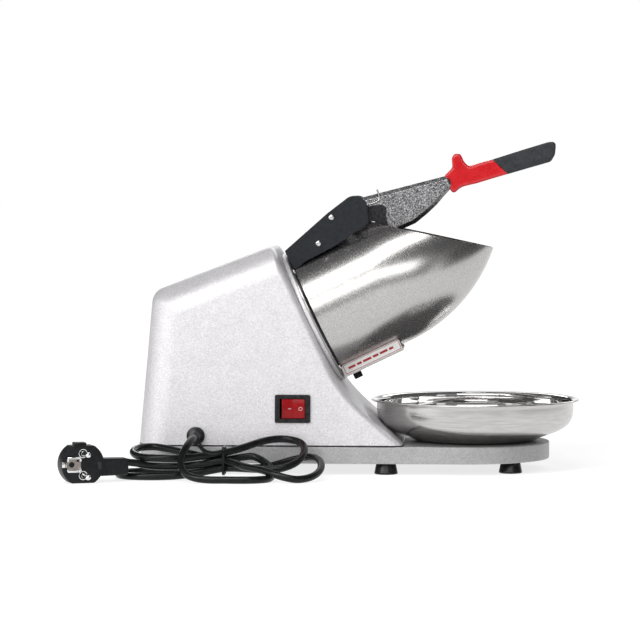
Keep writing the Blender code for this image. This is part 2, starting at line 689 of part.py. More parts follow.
def make_pin_and_spring():
    """The pin sits in a blind hole in each cheek; the spring is wound round it and hooks over the lever."""
    reach = CHEEK_Y - CHEEK_SKIN - GAP
    pin = turned("pivot_pin", [(0, -reach), (4.0, -reach), (4.0, reach), (0, reach)], 20, STEEL, lever_pivot)
    pin.rotation_euler = (pi / 2, 0, 0)

    wire, coil_r, turns = 1.6, 6.6, 5
    y_start, y_end = -25.5, -15.5
    points = []
    steps = turns * 8
    for k in range(steps + 1):
        angle = radians(90) - 2 * pi * turns * k / steps
        points.append((coil_r * cos(angle), y_start + (y_end - y_start) * k / steps, coil_r * sin(angle)))
    points += SPRING_LEG
    curve = bpy.data.curves.new("torsion_spring", "CURVE")
    curve.dimensions = "3D"
    curve.bevel_depth = wire / 2 * MM
    curve.bevel_resolution = 1
    curve.use_fill_caps = True
    path = curve.splines.new("POLY")
    path.points.add(len(points) - 1)
    for spot, point in zip(path.points, points):
        spot.co = (*(Vector(point) * MM), 1.0)
    curve.materials.append(STEEL)
    spring = bpy.data.objects.new("torsion_spring", curve)
    bpy.context.collection.objects.link(spring)
    spring.parent = lever_pivot


# --- lever, press plate and grips -------------------------------------------------------------
LEVER_HALF = 13.0
NECK_W = (-46.5, -35.0)
NECK_MIDDLE = sum(NECK_W) / 2
PLATE_S = (48.0, 53.0)
PLATE_R = 51.0
PLATE_HALF_Y = 35.5
PLATE_TOP_W = -48.0
PLATE_LOW_W = 46.0


def rel(x, z):
    """World (x, z) seen from the lever's pivot."""
    return x - PIVOT[0], z - PIVOT[2]


def make_lever():
    """The arm hooks round the hopper's rim: hub above it, neck under it, handle in front."""
    neck_top, neck_low = NECK_W
    hub = arc((0.0, 0.0), 10.8, 95, 285, 10)
    under = [rel(*on_axis(87.8, -61.5)), rel(*on_axis(88.0, -56.0)), rel(*on_axis(84.0, -49.0)),
             rel(*on_axis(70.0, neck_top)), rel(*on_axis(PLATE_S[1] + GAP, neck_top))]
    back = [rel(*on_axis(PLATE_S[1] + GAP, neck_low)), rel(*on_axis(98.0, neck_low))]
    web = [rel(36.1, 216.4), rel(48.9, 222.1), rel(59.0, 230.3), rel(67.9, 238.7), rel(74.2, 246.3),
           rel(80.4, 253.0)]
    top = [rel(74.4, 264.4), rel(0.0, 245.2)]
    outline = hub + under + back + web + top
    lever = slab("press_lever", outline, -LEVER_HALF, LEVER_HALF, ALLOY, lever_pivot, bevel=0.8)
    tongue = [rel(72.0, 262.0), rel(118.0, 276.0), rel(168.0, 291.0), rel(168.0, 284.0), rel(118.0, 270.0),
              rel(76.0, 255.5)]
    core = slab("grip_tongue", tongue, -5.0, 5.0, parent=lever_pivot)
    combine(lever, core, "UNION")
    bore = turned("lever_bore", [(0, -40), (4.3, -40), (4.3, 40), (0, 40)], 20, parent=lever_pivot)
    bore.rotation_euler = (pi / 2, 0, 0)
    combine(lever, bore)
    screw_bore = turned("plate_screw_bore", [(0, 40), (2.3, 40), (2.3, 66), (0, 66)], 12, parent=press_seat)
    screw_bore.location = (NECK_MIDDLE * MM, 0, 0)
    combine(lever, screw_bore)


def make_press_plate():
    """An oval plate with a flat top and foot, narrow enough to swing out through the mouth."""
    ring = []
    for k in range(40):
        angle = 2 * pi * k / 40
        w = max(min(PLATE_R * cos(angle), PLATE_LOW_W), PLATE_TOP_W)
        ring.append((w, PLATE_HALF_Y * sin(angle)))
    rings = [[(w * 0.985, y * 0.985, PLATE_S[0]) for w, y in ring],
             [(w, y, PLATE_S[0] + 0.8) for w, y in ring],
             [(w, y, PLATE_S[1] - 0.8) for w, y in ring],
             [(w * 0.985, y * 0.985, PLATE_S[1]) for w, y in ring]]
    plate = loft("press_plate", rings, STEEL, press_seat)
    drill = turned("plate_hole", [(0, 40), (2.3, 40), (2.3, 60), (0, 60)], 12, parent=press_seat)
    drill.location = (NECK_MIDDLE * MM, 0, 0)
    combine(plate, drill)
    profile = [(0, PLATE_S[0] - 3.0), (4.0, PLATE_S[0] - 2.4), (4.0, PLATE_S[0] - GAP), (2.0, PLATE_S[0] - GAP),
               (2.0, 64.0), (0, 64.0)]
    screw = turned("press_plate_screw", profile, 14, STEEL, press_seat)
    screw.location = (NECK_MIDDLE * MM, 0, 0)


def make_grips():
    """Two moulded sleeves over the lever's tongue, split on a slanting line."""
    socket = [rel(70.0, 261.9), rel(118.0, 276.6), rel(168.6, 291.8), rel(168.6, 283.2), rel(118.0, 269.4),
              rel(70.0, 253.3)]
    red = [rel(75.4, 265.0), rel(82.2, 272.2), rel(81.6, 281.0), rel(84.4, 284.9), rel(88.8, 284.6),
           rel(91.6, 277.0), rel(97.0, 273.4), rel(106.0, 276.4), rel(117.7, 279.5), rel(131.6, 266.3),
           rel(118.0, 262.3), rel(104.0, 258.0), rel(95.0, 254.2), rel(88.0, 251.3), rel(83.8, 251.6),
           rel(81.6, 253.5)]
    black = [rel(118.4, 279.7), rel(145.0, 288.2), rel(168.0, 295.2), rel(173.4, 295.6), rel(175.2, 293.2),
             rel(174.4, 284.0), rel(170.8, 277.6), rel(152.0, 272.2), rel(132.4, 266.5)]
    for name, outline, mat in (("grip_sleeve_red", red, RED_PLASTIC), ("grip_sleeve_black", black, BLACK_PLASTIC)):
        sleeve = slab(name, outline, -11.0, 11.0, mat, lever_pivot)
        round_edges(sleeve, 3.0, 2)
        hollow = slab(f"{name}_socket", socket, -5.3, 5.3, parent=lever_pivot)
        combine(sleeve, hollow)


# --- bowl ---------------------------------------------------------------------------------------
BOWL_FLAT = 52.0
BOWL_CURVE = [(60.3, 29.3), (75.5, 34.9), (85.2, 41.8), (88.6, 50.1)]
BOWL_T = 0.9


def make_bowl():
    z0, z1 = BOWL_Z
    profile = [(0, z0), (BOWL_FLAT, z0)] + BOWL_CURVE + [(89.0, z1 - 1.2), (BOWL_R, z1 - 1.6), (BOWL_R, z1 - 0.6),
              (BOWL_R - 1, z1), (88.2, z1)]
    profile += [(r - BOWL_T, z + 0.4) for r, z in reversed(BOWL_CURVE)] + [(BOWL_FLAT - 1, z0 + BOWL_T), (0, z0 + BOWL_T)]
    turned("ice_bowl", profile, 40, MIRROR, bowl_seat)


# --- switch --------------------------------------------------------------------------------------
def make_switch():
    bezel = block("switch_body", (-15.75, -2.3, -12.5), (15.75, -GAP, 12.5), BLACK_PLASTIC, switch_seat)
    box = block("switch_box", (-14.2, -1.0, -11.0), (14.2, 22.0, 11.0), parent=switch_seat)
    combine(bezel, box, "UNION")
    pocket = block("switch_pocket", (-11.3, -6.0, -8.9), (11.3, 14.0, 8.9), parent=switch_seat)
    combine(bezel, pocket)
    y = -ROCKER_AXIS_Y
    outline = [(0.0, y - 2.2), (10.0, y - 3.8), (10.3, y - 2.0), (9.0, 3.0), (5.0, 6.5), (-5.0, 6.5), (-9.0, 3.0),
               (-10.3, y - 2.0), (-10.0, y - 3.8)]
    rings = [[(x, v, z) for x, v in outline] for z in (-8.5, 8.5)]
    rocker = loft("switch_rocker", rings, ROCKER_RED, rocker_axis)
    rocker.rotation_euler = (0, 0, ROCKER_TILT)


# --- cord, gland, plug and tie ---------------------------------------------------------------------
CORD_ROUTE = [
    (-144.3, -94.0, 34.6), (-144.5, -104.0, 34.2), (-147.0, -116.0, 31.0), (-150.5, -128.0, 23.5),
    (-151.0, -138.5, 15.0), (-145.5, -147.0, 7.2), (-132.0, -152.0, 3.8), (-112.0, -153.0, 3.4),
    (-94.0, -153.5, 3.4), (-80.0, -147.5, 3.4), (-73.5, -131.5, 3.9), (-76.5, -112.5, 11.5),
    (-92.0, -100.5, 19.0), (-116.0, -107.8, 16.4), (-140.0, -104.5, 20.0), (-163.0, -91.5, 23.5),
    (-181.0, -83.0, 25.4), (-193.0, -92.0, 25.0), (-196.0, -109.0, 22.6), (-186.0, -125.5, 20.2),
    (-166.0, -131.0, 19.8), (-150.0, -125.0, 19.4), (-134.0, -117.0, 20.8), (-116.0, -111.4, 23.0),
    (-97.0, -100.0, 27.6), (-80.0, -87.5, 32.0), (-64.0, -81.5, 32.6), (-50.0, -88.5, 29.8),
    (-46.5, -106.0, 22.6), (-53.0, -123.5, 15.4), (-66.0, -132.0, 11.2), (-84.0, -129.8, 10.4),
    (-99.0, -121.5, 10.2), (-116.0, -114.6, 9.7), (-140.0, -121.0, 5.6), (-162.0, -127.0, 3.8),
    (-185.0, -128.5, 3.5), (-203.0, -120.5, 3.4), (-209.5, -104.0, 3.4), (-203.0, -87.5, 3.4),
    (-185.0, -79.5, 3.4), (-163.0, -84.0, 3.8), (-140.0, -96.0, 6.2), (-116.0, -107.8, 9.6),
    (-98.0, -103.0, 9.0), (-80.0, -94.5, 9.2), (-60.0, -85.0, 14.0), (-43.0, -84.0, 17.2),
    (-33.5, -96.5, 15.2), (-31.5, -116.0, 9.4), (-38.0, -135.0, 4.8), (-51.0, -147.5, 3.6),
    (-66.0, -147.0, 6.6), (-80.0, -140.0, 10.6), (-98.0, -129.0, 12.8), (-116.0, -114.8, 16.4),
    (-134.0, -118.4, 13.4), (-150.0, -121.0, 12.2), (-166.0, -121.8, 11.8), (-182.0, -125.0, 13.0),
    (-190.6, -128.6, 15.2), (-198.6, -131.9, 16.4),
]
CORD_POINTS = 68


def make_cord():
    curve = bpy.data.curves.new("power_cord", "CURVE")
    curve.dimensions = "3D"
    curve.bevel_depth = CORD_D / 2 * MM
    curve.bevel_resolution = 2
    curve.use_fill_caps = True
    places = spline(CORD_ROUTE, CORD_POINTS)
    path = curve.splines.new("POLY")
    path.points.add(len(places) - 1)
    for spot, place in zip(path.points, places):
        spot.co = (*(Vector(place) * MM), 1.0)
    curve.materials.append(BLACK_PLASTIC)
    bpy.context.collection.objects.link(bpy.data.objects.new("power_cord", curve))

    side = half_width_at(GLAND_Z)
    out = 93.5 - side
    profile = [(0, -6.0), (5.2, -6.0), (5.2, 0.8), (8.0, 0.8), (8.0, 3.0), (6.4, 3.4), (6.0, 7.0), (4.4, out - 0.6),
               (3.8, out), (0, out)]
    gland = turned("cord_gland", profile, 20, RUBBER)
    gland.location = Vector((GLAND_X, -side, GLAND_Z)) * MM
    gland.rotation_euler = (pi / 2, 0, 0)


TIE_PLACE = (-116.0, -111.8, 16.4)


def rounded_box(half_y, half_z, radius, steps=3):
    """A rounded rectangle, as (y, z) points round its middle."""
    points = []
    for turn, (sy, sz) in enumerate(((1, 1), (-1, 1), (-1, -1), (1, -1))):
        centre = (sy * (half_y - radius), sz * (half_z - radius))
        points += arc(centre, radius, 90 * turn, 90 * turn + 90, steps)
    return points


def make_tie():
    """One band round the five runs of cord."""
    inner, outer = rounded_box(9.2, 11.3, 3.0), rounded_box(10.4, 12.5, 4.2)
    x0, x1 = TIE_PLACE[0] - 1.2, TIE_PLACE[0] + 1.2
    loops = [[(x, TIE_PLACE[1] + y, TIE_PLACE[2] + z) for y, z in ring]
             for x, ring in ((x0, inner), (x0, outer), (x1, outer), (x1, inner))]
    count = len(outer)
    verts = [p for loop in loops for p in loop]
    faces = []
    for i in range(4):
        for k in range(count):
            a, b = i * count + k, i * count + (k + 1) % count
            c, d = ((i + 1) % 4) * count + (k + 1) % count, ((i + 1) % 4) * count + k
            faces.append([a, b, c, d])
    piece("cord_tie", verts, faces, BLACK_PLASTIC)


PLUG_R = 19.0
PLUG_FLAT = 16.2
PLUG_DEPTH = 17.0
PIN_SPACING = 19.0


def make_plug():
    """The pins point along local -Y; the cord leaves sideways, along local +X."""
    seat = empty("plug_seat", PLUG_CENTRE, (0.0, 0.0, PLUG_TURN))
    outline = [(PLUG_R * cos(a), max(-PLUG_FLAT, min(PLUG_FLAT, PLUG_R * sin(a))))
               for a in np.linspace(0, 2 * pi, 32, endpoint=False)]
    body = slab("plug_body", outline, 0.0, PLUG_DEPTH, BLACK_PLASTIC, seat)
    boot = turned("plug_boot", [(0, 12), (8.6, 12), (8.0, 36), (6.0, 41.2), (0, 41.2)], 16, parent=seat)
    boot.rotation_euler = (0, pi / 2, 0)
    boot.location = Vector((0, 8.4, 0)) * MM
    combine(body, boot, "UNION")
    for k, side in enumerate((-1, 1)):
        z = side * PIN_SPACING / 2
        pin = [(0, GAP), (2.4, GAP), (2.4, 17.4), (1.4, 19.0), (0, 19.0)]
        made = turned(f"plug_pin_{k + 1}", pin, 12, STEEL, seat)
        made.location = Vector((0, 0, z)) * MM
        made.rotation_euler = (pi / 2, 0, 0)


def make_electrics():
    can = [(0, 0), (13.0, 0), (14.0, 1.0), (14.0, 49.0), (13.0, 50.0), (0, 50.0)]
    capacitor = turned("run_capacitor", can, 20, BLACK_PLASTIC)
    capacitor.location = Vector((-152.0, 48.0, BASE_Z[1] + GAP + 14.1)) * MM
    capacitor.rotation_euler = (pi / 2, 0, 0)
    block("terminal_block", (-142, -52, BASE_Z[1] + GAP), (-114, -36, 38), WHITE, bevel=0.6)


make_base()
make_feet()
make_housing()
make_drum()
make_chute()
make_flange_screws()
make_motor()
make_disc()
make_bracket()
make_pin_and_spring()
make_lever()
make_press_plate()
make_grips()
make_bowl()
make_switch()
make_electrics()
make_cord()
make_tie()
make_plug()
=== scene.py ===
"""Looks of the electric shaved ice machine: fine meshes, materials, floor, light and camera.

Lengths are millimetres until a seat matrix turns them into the frame's metres. +X points to
the bowl, -Y to the switch side, +Z up, with the origin on the ground.
"""
from math import sin, cos, tan, pi, radians, sqrt

import bmesh
import bpy
import numpy as np
from mathutils import Euler, Matrix, Vector


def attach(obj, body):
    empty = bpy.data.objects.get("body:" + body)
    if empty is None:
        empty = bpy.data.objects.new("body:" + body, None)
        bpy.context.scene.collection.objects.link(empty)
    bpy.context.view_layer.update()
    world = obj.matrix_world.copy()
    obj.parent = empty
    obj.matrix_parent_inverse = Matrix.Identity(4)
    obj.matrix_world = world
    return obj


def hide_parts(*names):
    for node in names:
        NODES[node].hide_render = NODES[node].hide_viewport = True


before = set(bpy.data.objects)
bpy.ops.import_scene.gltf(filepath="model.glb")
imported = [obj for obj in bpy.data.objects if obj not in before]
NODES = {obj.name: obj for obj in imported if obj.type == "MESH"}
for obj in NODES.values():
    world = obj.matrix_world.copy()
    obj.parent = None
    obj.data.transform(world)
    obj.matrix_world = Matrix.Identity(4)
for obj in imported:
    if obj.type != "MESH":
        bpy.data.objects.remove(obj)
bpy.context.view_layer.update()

MM = 0.001
GAP = 0.3

# --- dimensions shared with the solid model ---
HALF_WIDTH = 74
BASE_REAR_X = -197
BASE_NOSE_X = 96.3
BASE_CORNER_R = 34
BASE_Z = (10, 25.3)

DRAFT = radians(3)
SHELL_Z = BASE_Z[1] + GAP
WALL = 3
APRON_WALL = 9
TOP_EDGE_R = 28
FRONT_EDGE_R = 6

AXIS_TILT = radians(25.5)
AXIS_ORIGIN = (-41.4, 0, 137.8)
FACE_S = -4.5
DRUM_R = 57
DRUM_WALL = 1.2
DRUM_STRAIGHT = 68
DRUM_END = 178
DRUM_ARC_R = 145
FLANGE_R = 63
MOUTH_TOP = (80.2, -57)
MOUTH_TIP = (172.2, 13)

PIVOT = (-7, 0, 231)
CHEEK_Y = 34
CHEEK_T = 2.5
CHEEK_SKIN = 0.9
PIN_HOLE_R = 4.3
CHEEK_HOLE_R = 1.8
PLATE_HOLE_R = 2.3

BOWL_X = 103
BOWL_R = 94.2
BOWL_Z = (25.9, 63.6)
BOWL_FLAT = 52
BOWL_CURVE = [(60.3, 29.3), (75.5, 34.9), (85.2, 41.8), (88.6, 50.1)]
BOWL_T = 0.9

SWITCH_X = -58.4
SWITCH_Z = 58.7
ROCKER_TILT = radians(9)
ROCKER_AXIS_Y = 3

GLAND_X = -144.3
GLAND_Z = 34.6
GLAND_END_Y = 93.5
CORD_D = 6.5

PLUG_CENTRE = (-233.9, -156, 16.4)
PLUG_TURN = radians(23)
PLUG_R = 19
PLUG_FLAT = 16.2
PLUG_DEPTH = 17
PIN_SPACING = 19
BOOT_DROP = -3.2


# --- mesh helpers ---
def local(place=(0, 0, 0), turn=(0, 0, 0)):
    """A place and turn inside another seat, in millimetres and radians."""
    return Matrix.Translation(Vector(place)) @ Euler(turn).to_matrix().to_4x4()


WORLD = Matrix.Scale(MM, 4)
DRIVE_TURN = (0, pi / 2 - AXIS_TILT, 0)
DRIVE = WORLD @ local(AXIS_ORIGIN, DRIVE_TURN)
LEVER = WORLD @ local(PIVOT)
BOWL = WORLD @ local((BOWL_X, 0, 0))


def half_width_at(z):
    """Half width of the housing's drafted side walls at a height."""
    return HALF_WIDTH - (z - BASE_Z[1]) * tan(DRAFT)


SWITCH = WORLD @ local((SWITCH_X, -half_width_at(SWITCH_Z), SWITCH_Z), (-DRAFT, 0, 0))
ROCKER = SWITCH @ local((0, ROCKER_AXIS_Y, 0), (0, 0, ROCKER_TILT))
GLAND = WORLD @ local((GLAND_X, -half_width_at(GLAND_Z), GLAND_Z), (pi / 2, 0, 0))
PLUG = WORLD @ local(PLUG_CENTRE, (0, 0, PLUG_TURN))


def linked(name, data):
    """A new object in the scene."""
    made = bpy.data.objects.new(name, data)
    bpy.context.collection.objects.link(made)
    return made


def solid(name, verts, faces, seat=WORLD, sharp=35):
    """One object from millimetre vertices in a seat, its faces turned outwards."""
    mesh = bpy.data.meshes.new(name)
    bm = bmesh.new()
    made = [bm.verts.new(seat @ Vector(v)) for v in verts]
    for face in faces:
        bm.faces.new([made[i] for i in face])
    bmesh.ops.recalc_face_normals(bm, faces=bm.faces)
    bm.to_mesh(mesh)
    bm.free()
    soften(mesh, sharp)
    return linked(name, mesh)


def soften(mesh, sharp=35):
    """Smooth shading that stops at edges sharper than an angle in degrees."""
    mesh.shade_smooth()
    mesh.set_sharp_from_angle(angle=radians(sharp))


def turned(name, profile, steps, seat=WORLD, sharp=35):
    """A closed (radius, height) profile turned about the seat's Z axis."""
    verts, rings = [], []
    for radius, height in profile:
        if radius < 1e-6:
            rings.append([len(verts)] * steps)
            verts.append((0, 0, height))
            continue
        rings.append(list(range(len(verts), len(verts) + steps)))
        for k in range(steps):
            angle = 2 * pi * k / steps
            verts.append((radius * cos(angle), radius * sin(angle), height))
    faces = []
    for i, ring in enumerate(rings):
        after = rings[(i + 1) % len(rings)]
        for k in range(steps):
            corner = [ring[k], ring[(k + 1) % steps], after[(k + 1) % steps], after[k]]
            corner = list(dict.fromkeys(corner))
            if len(corner) > 2:
                faces.append(corner)
    return solid(name, verts, faces, seat, sharp)


def rod(name, radius, z0, z1, steps, seat=WORLD):
    """A plain cylinder on the seat's Z axis."""
    return turned(name, [(0, z0), (radius, z0), (radius, z1), (0, z1)], steps, seat)


def loft(name, rings, seat=WORLD, closed=False):
    """Loops of equal length joined one after another, capped at the ends unless they close."""
    count = len(rings[0])
    verts = [point for ring in rings for point in ring]
    faces = []
    for i in range(len(rings) - (0 if closed else 1)):
        after = (i + 1) % len(rings)
        for k in range(count):
            a, b = i * count + k, i * count + (k + 1) % count
            c, d = after * count + (k + 1) % count, after * count + k
            faces.append([a, b, c, d])
    if not closed:
        faces.append(list(range(count)))
        faces.append(list(range((len(rings) - 1) * count, len(rings) * count)))
    return solid(name, verts, faces, seat)


def block(name, low, high, seat=WORLD):
    """A box between two corners."""
    (x0, y0, z0), (x1, y1, z1) = low, high
    return loft(name, [[(x0, y0, z), (x1, y0, z), (x1, y1, z), (x0, y1, z)] for z in (z0, z1)], seat)


def at_y(outline, y):
    """An (x, z) outline as points in a plane across Y."""
    return [(x, y, z) for x, z in outline]


def slab(name, outline, y0, y1, seat=WORLD):
    """An (x, z) outline made solid between two places along Y."""
    return loft(name, [at_y(outline, y0), at_y(outline, y1)], seat)


def wire(name, points, radius, seat=WORLD, resolution=4):
    """A round wire through the given points, as a curve."""
    curve = bpy.data.curves.new(name, "CURVE")
    curve.dimensions = "3D"
    curve.bevel_depth = radius * MM
    curve.bevel_resolution = resolution
    curve.use_fill_caps = True
    path = curve.splines.new("POLY")
    path.points.add(len(points) - 1)
    for spot, point in zip(path.points, points):
        spot.co = (*(seat @ Vector(point)), 1)
    path.use_smooth = True
    return linked(name, curve)


def bake(target, sharp=35):
    """Turns an object's modifiers into plain mesh."""
    graph = bpy.context.evaluated_depsgraph_get()
    mesh = bpy.data.meshes.new_from_object(target.evaluated_get(graph))
    target.modifiers.clear()
    target.data = mesh
    mesh.name = target.name
    soften(mesh, sharp)


def carve(target, tools, operation="DIFFERENCE", sharp=35):
    """Cuts the tools out of a piece, or joins them to it, and removes them."""
    for tool in tools:
        step = target.modifiers.new(tool.name, "BOOLEAN")
        step.operation = operation
        step.object = tool
    bake(target, sharp)
    for tool in tools:
        bpy.data.objects.remove(tool, do_unlink=True)


def round_edges(target, width, segments=3, angle=40, keep=True):
    """A Bevel on the sharp edges, made plain mesh at once unless keep is False."""
    step = target.modifiers.new("edges", "BEVEL")
    step.width = width * MM
    step.segments = segments
    step.limit_method = "ANGLE"
    step.angle_limit = radians(angle)
    step.harden_normals = False
    if keep:
        bake(target)
    return target


def arc(centre, radius, start, end, steps):
    """Points on a circle from one angle to another, both in degrees."""
    angles = np.radians(np.linspace(start, end, steps + 1))
    return [(centre[0] + radius * cos(a), centre[1] + radius * sin(a)) for a in angles]


def on_axis(s, w):
    """World (x, z) of a point s along the drive axis and w below it."""
    x = AXIS_ORIGIN[0] + s * cos(AXIS_TILT) + w * sin(AXIS_TILT)
    z = AXIS_ORIGIN[2] + s * sin(AXIS_TILT) - w * cos(AXIS_TILT)
    return x, z


def rel(*points):
    """World (x, z) points seen from the lever's pivot."""
    return [(x - PIVOT[0], z - PIVOT[2]) for x, z in points]


def unit(v):
    """A vector's direction."""
    return v / np.linalg.norm(v)


def resample(points, count):
    """Evenly spaced points along a line of many short steps."""
    run = np.concatenate([[0], np.cumsum(np.linalg.norm(np.diff(points, axis=0), axis=1))])
    places = np.linspace(0, run[-1], count)
    return np.column_stack([np.interp(places, run, points[:, k]) for k in range(points.shape[1])])


def spline(points, count):
    """Evenly spaced points on a smooth curve through the given ones (Catmull-Rom)."""
    p = np.array(points, float)
    p = np.vstack([2 * p[0] - p[1], p, 2 * p[-1] - p[-2]])
    fine = []
    for i in range(1, len(p) - 2):
        knots = np.cumsum([0] + [np.linalg.norm(p[i + j] - p[i + j - 1]) ** 0.5 for j in (0, 1, 2)])
        for t in np.linspace(knots[1], knots[2], 24, endpoint=False):
            level = [p[i - 1], p[i], p[i + 1], p[i + 2]]
            for depth in (1, 2, 3):
                level = [
                    (level[j] * (knots[j + depth] - t) + level[j + 1] * (t - knots[j]))
                    / (knots[j + depth] - knots[j])
                    for j in range(4 - depth)
                ]
            fine.append(level[0])
    return resample(np.array(fine + [p[-2]]), count)


# --- materials ---
DRUM_GRAIN = (0, -(pi / 2 - AXIS_TILT), 0)
NOISE_ROUGHNESS = 0.6
COAT_ROUGHNESS = 0.12


def feed(node, inputs):
    """Sets a node's named inputs: a socket is linked, anything else becomes the value."""
    for name, value in inputs.items():
        if isinstance(value, bpy.types.NodeSocket):
            node.id_data.links.new(value, node.inputs[name])
        else:
            node.inputs[name].default_value = value


def new_node(tree, kind, inputs, **settings):
    """A shader node with its settings first and its inputs after them."""
    node = tree.nodes.new(f"ShaderNode{kind}")
    for name, value in settings.items():
        setattr(node, name, value)
    feed(node, inputs)
    return node


def new_ramp(tree, source, stops):
    """The colour output of a ramp over (position, colour) stops, in rising order."""
    ramp = new_node(tree, "ValToRGB", {"Fac": source})
    elements = ramp.color_ramp.elements
    for end, (position, colour) in ((0, stops[0]), (1, stops[-1])):
        elements[end].position, elements[end].color = position, (*colour, 1)
    for position, colour in stops[1:-1]:
        elements.new(position).color = (*colour, 1)
    return ramp.outputs["Color"]


def surface(name, dark, light, metallic, rough, scale, bump, stretch=(1, 1, 1), turn=(0, 0, 0),
            cells=None, coat=0, gloss=0.5, detail=5, span=(0.35, 0.65)):
    """A Principled material whose colour, roughness and relief follow noise in the object's metres.

    rough is (low, high); bump is (scale, distance in metres, strength); cells is (scale, amount) for flakes,
    each with its own brightness.
    """
    made = bpy.data.materials.new(name)
    made.use_nodes = True
    tree = made.node_tree
    where = new_node(tree, "TexCoord", {}).outputs["Object"]
    turner = new_node(tree, "Mapping", {"Vector": where, "Rotation": turn})
    stretcher = new_node(tree, "Mapping", {"Vector": turner.outputs["Vector"], "Scale": stretch})
    drawn = stretcher.outputs["Vector"]
    noise = new_node(tree, "TexNoise", {"Vector": drawn, "Scale": scale, "Detail": detail,
                                        "Roughness": NOISE_ROUGHNESS}).outputs["Fac"]
    colour = new_ramp(tree, noise, [(span[0], dark), (span[1], light)])
    if cells:
        flakes = new_node(tree, "TexVoronoi", {"Vector": where, "Scale": cells[0]})
        split = new_node(tree, "SeparateColor", {"Color": flakes.outputs["Color"]})
        level = new_node(tree, "MapRange", {"Value": split.outputs["Red"], "To Min": 1.0 - cells[1],
                                            "To Max": 1.0 + cells[1]})
        mixer = new_node(tree, "Mix", {"Factor": 1, "A": colour, "B": level.outputs["Result"]},
                         data_type="RGBA", blend_type="MULTIPLY")
        colour = mixer.outputs["Result"]
    shine = new_node(tree, "MapRange", {"Value": noise, "From Min": 0.3, "From Max": 0.7, "To Min": rough[0],
                                        "To Max": rough[1]})
    relief = new_node(tree, "TexNoise", {"Vector": drawn, "Scale": bump[0], "Detail": 3.0})
    bumper = new_node(tree, "Bump", {"Height": relief.outputs["Fac"], "Distance": bump[1],
                                     "Strength": bump[2]})
    feed(tree.nodes["Principled BSDF"],
         {"Metallic": metallic, "Specular IOR Level": gloss, "Coat Weight": coat,
          "Coat Roughness": COAT_ROUGHNESS, "Base Color": colour, "Roughness": shine.outputs["Result"],
          "Normal": bumper.outputs["Normal"]})
    return made


SILVER = surface("cast_silver", (0.635, 0.622, 0.64), (0.675, 0.662, 0.68), 0.4, (0.42, 0.48), 90,
                 (900, 4e-5, 0.35), cells=(1500, 0.16))
# The housing's cast silver made darker for the base tray: painted shade on the tray's sides, the same paint
# as the housing.
TRAY_SHADED_SILVER = surface("tray_silver_painted_shade", (0.38, 0.377, 0.38), (0.42, 0.417, 0.42), 0.45, (0.42, 0.48), 90,
                      (900, 4e-5, 0.35), cells=(1500, 0.18))
DRUM_STEEL = surface("drum_steel", (0.43, 0.42, 0.41), (0.57, 0.56, 0.55), 1, (0.22, 0.29), 520,
                     (600, 3e-5, 0.4), stretch=(1, 1, 3), turn=DRUM_GRAIN, detail=6)
DISC_STEEL = surface("disc_steel", (0.5, 0.49, 0.48), (0.68, 0.67, 0.66), 1, (0.22, 0.34), 70,
                     (70, 2e-5, 0.4), stretch=(14, 1, 1), turn=DRUM_GRAIN)
SCREW_STEEL = surface("screw_steel", (0.52, 0.52, 0.52), (0.7, 0.7, 0.7), 1, (0.18, 0.3), 400,
                      (700, 2e-5, 0.3))
BOWL_SATIN = surface("bowl_satin", (0.5, 0.49, 0.48), (0.6, 0.59, 0.58), 1, (0.2, 0.28), 60,
                     (90, 2e-5, 0.2), stretch=(1, 1, 12), detail=6)
BOWL_MIRROR = surface("bowl_mirror", (0.7, 0.695, 0.69), (0.78, 0.775, 0.77), 1, (0.04, 0.08), 30,
                      (25, 1e-4, 0.12))
CHROME = surface("pin_chrome", (0.72, 0.72, 0.72), (0.82, 0.82, 0.82), 1, (0.07, 0.14), 300,
                 (500, 1e-5, 0.2))
EARTH_BRONZE = surface("earth_bronze", (0.24, 0.21, 0.19), (0.36, 0.32, 0.3), 1, (0.3, 0.45), 500,
                       (900, 3e-5, 0.4))
CAST_ALLOY = surface("lever_alloy", (0.09, 0.088, 0.093), (0.4, 0.395, 0.4), 1, (0.3, 0.46), 1050,
                     (1500, 1.4e-4, 0.8), cells=(1200, 0.5), detail=3, span=(0.42, 0.6))
# The near-black copy of the cast alloy goes on the floor of the lever's hollow as painted shade in that
# recess.
CAST_HOLLOW_SHADE = surface("lever_recess", (0.016, 0.016, 0.019), (0.065, 0.063, 0.07), 1, (0.34, 0.5), 1300,
                    (1600, 1.2e-4, 0.7), detail=2, span=(0.36, 0.64))
BLACK_METAL = surface("black_metal", (0.009, 0.011, 0.014), (0.016, 0.019, 0.023), 0, (0.34, 0.46), 300,
                      (1600, 3e-5, 0.35), gloss=0.22)
CORE_IRON = surface("core_steel", (0.2, 0.19, 0.18), (0.36, 0.35, 0.33), 1, (0.42, 0.58), 50,
                    (60, 1e-4, 0.6), stretch=(1, 1, 40), turn=DRUM_GRAIN)
RED = surface("red_plastic", (0.5, 0.006, 0.01), (0.57, 0.009, 0.014), 0, (0.14, 0.22), 120,
              (300, 6e-5, 0.25), coat=0.3, gloss=0.35)
BLACK = surface("black_plastic", (0.018, 0.02, 0.023), (0.032, 0.035, 0.04), 0, (0.42, 0.56), 200,
                (1500, 5e-5, 0.6), gloss=0.25)
PLUG_BLACK = surface("plug_black", (0.01, 0.011, 0.012), (0.018, 0.019, 0.02), 0, (0.34, 0.46), 250,
                     (1400, 4e-5, 0.5), gloss=0.12)
BEZEL = surface("bezel_black", (0.008, 0.008, 0.009), (0.014, 0.014, 0.015), 0, (0.22, 0.34), 200,
                (1200, 2e-5, 0.3), gloss=0.3)
ROCKER_RED = surface("rocker_red", (0.24, 0.004, 0.006), (0.3, 0.006, 0.009), 0, (0.14, 0.24), 150,
                     (400, 3e-5, 0.2), coat=0.08, gloss=0.18)
MARK = surface("rocker_marks", (0.5, 0.36, 0.36), (0.58, 0.43, 0.43), 0, (0.35, 0.5), 500,
               (900, 1e-5, 0.2), gloss=0.3)
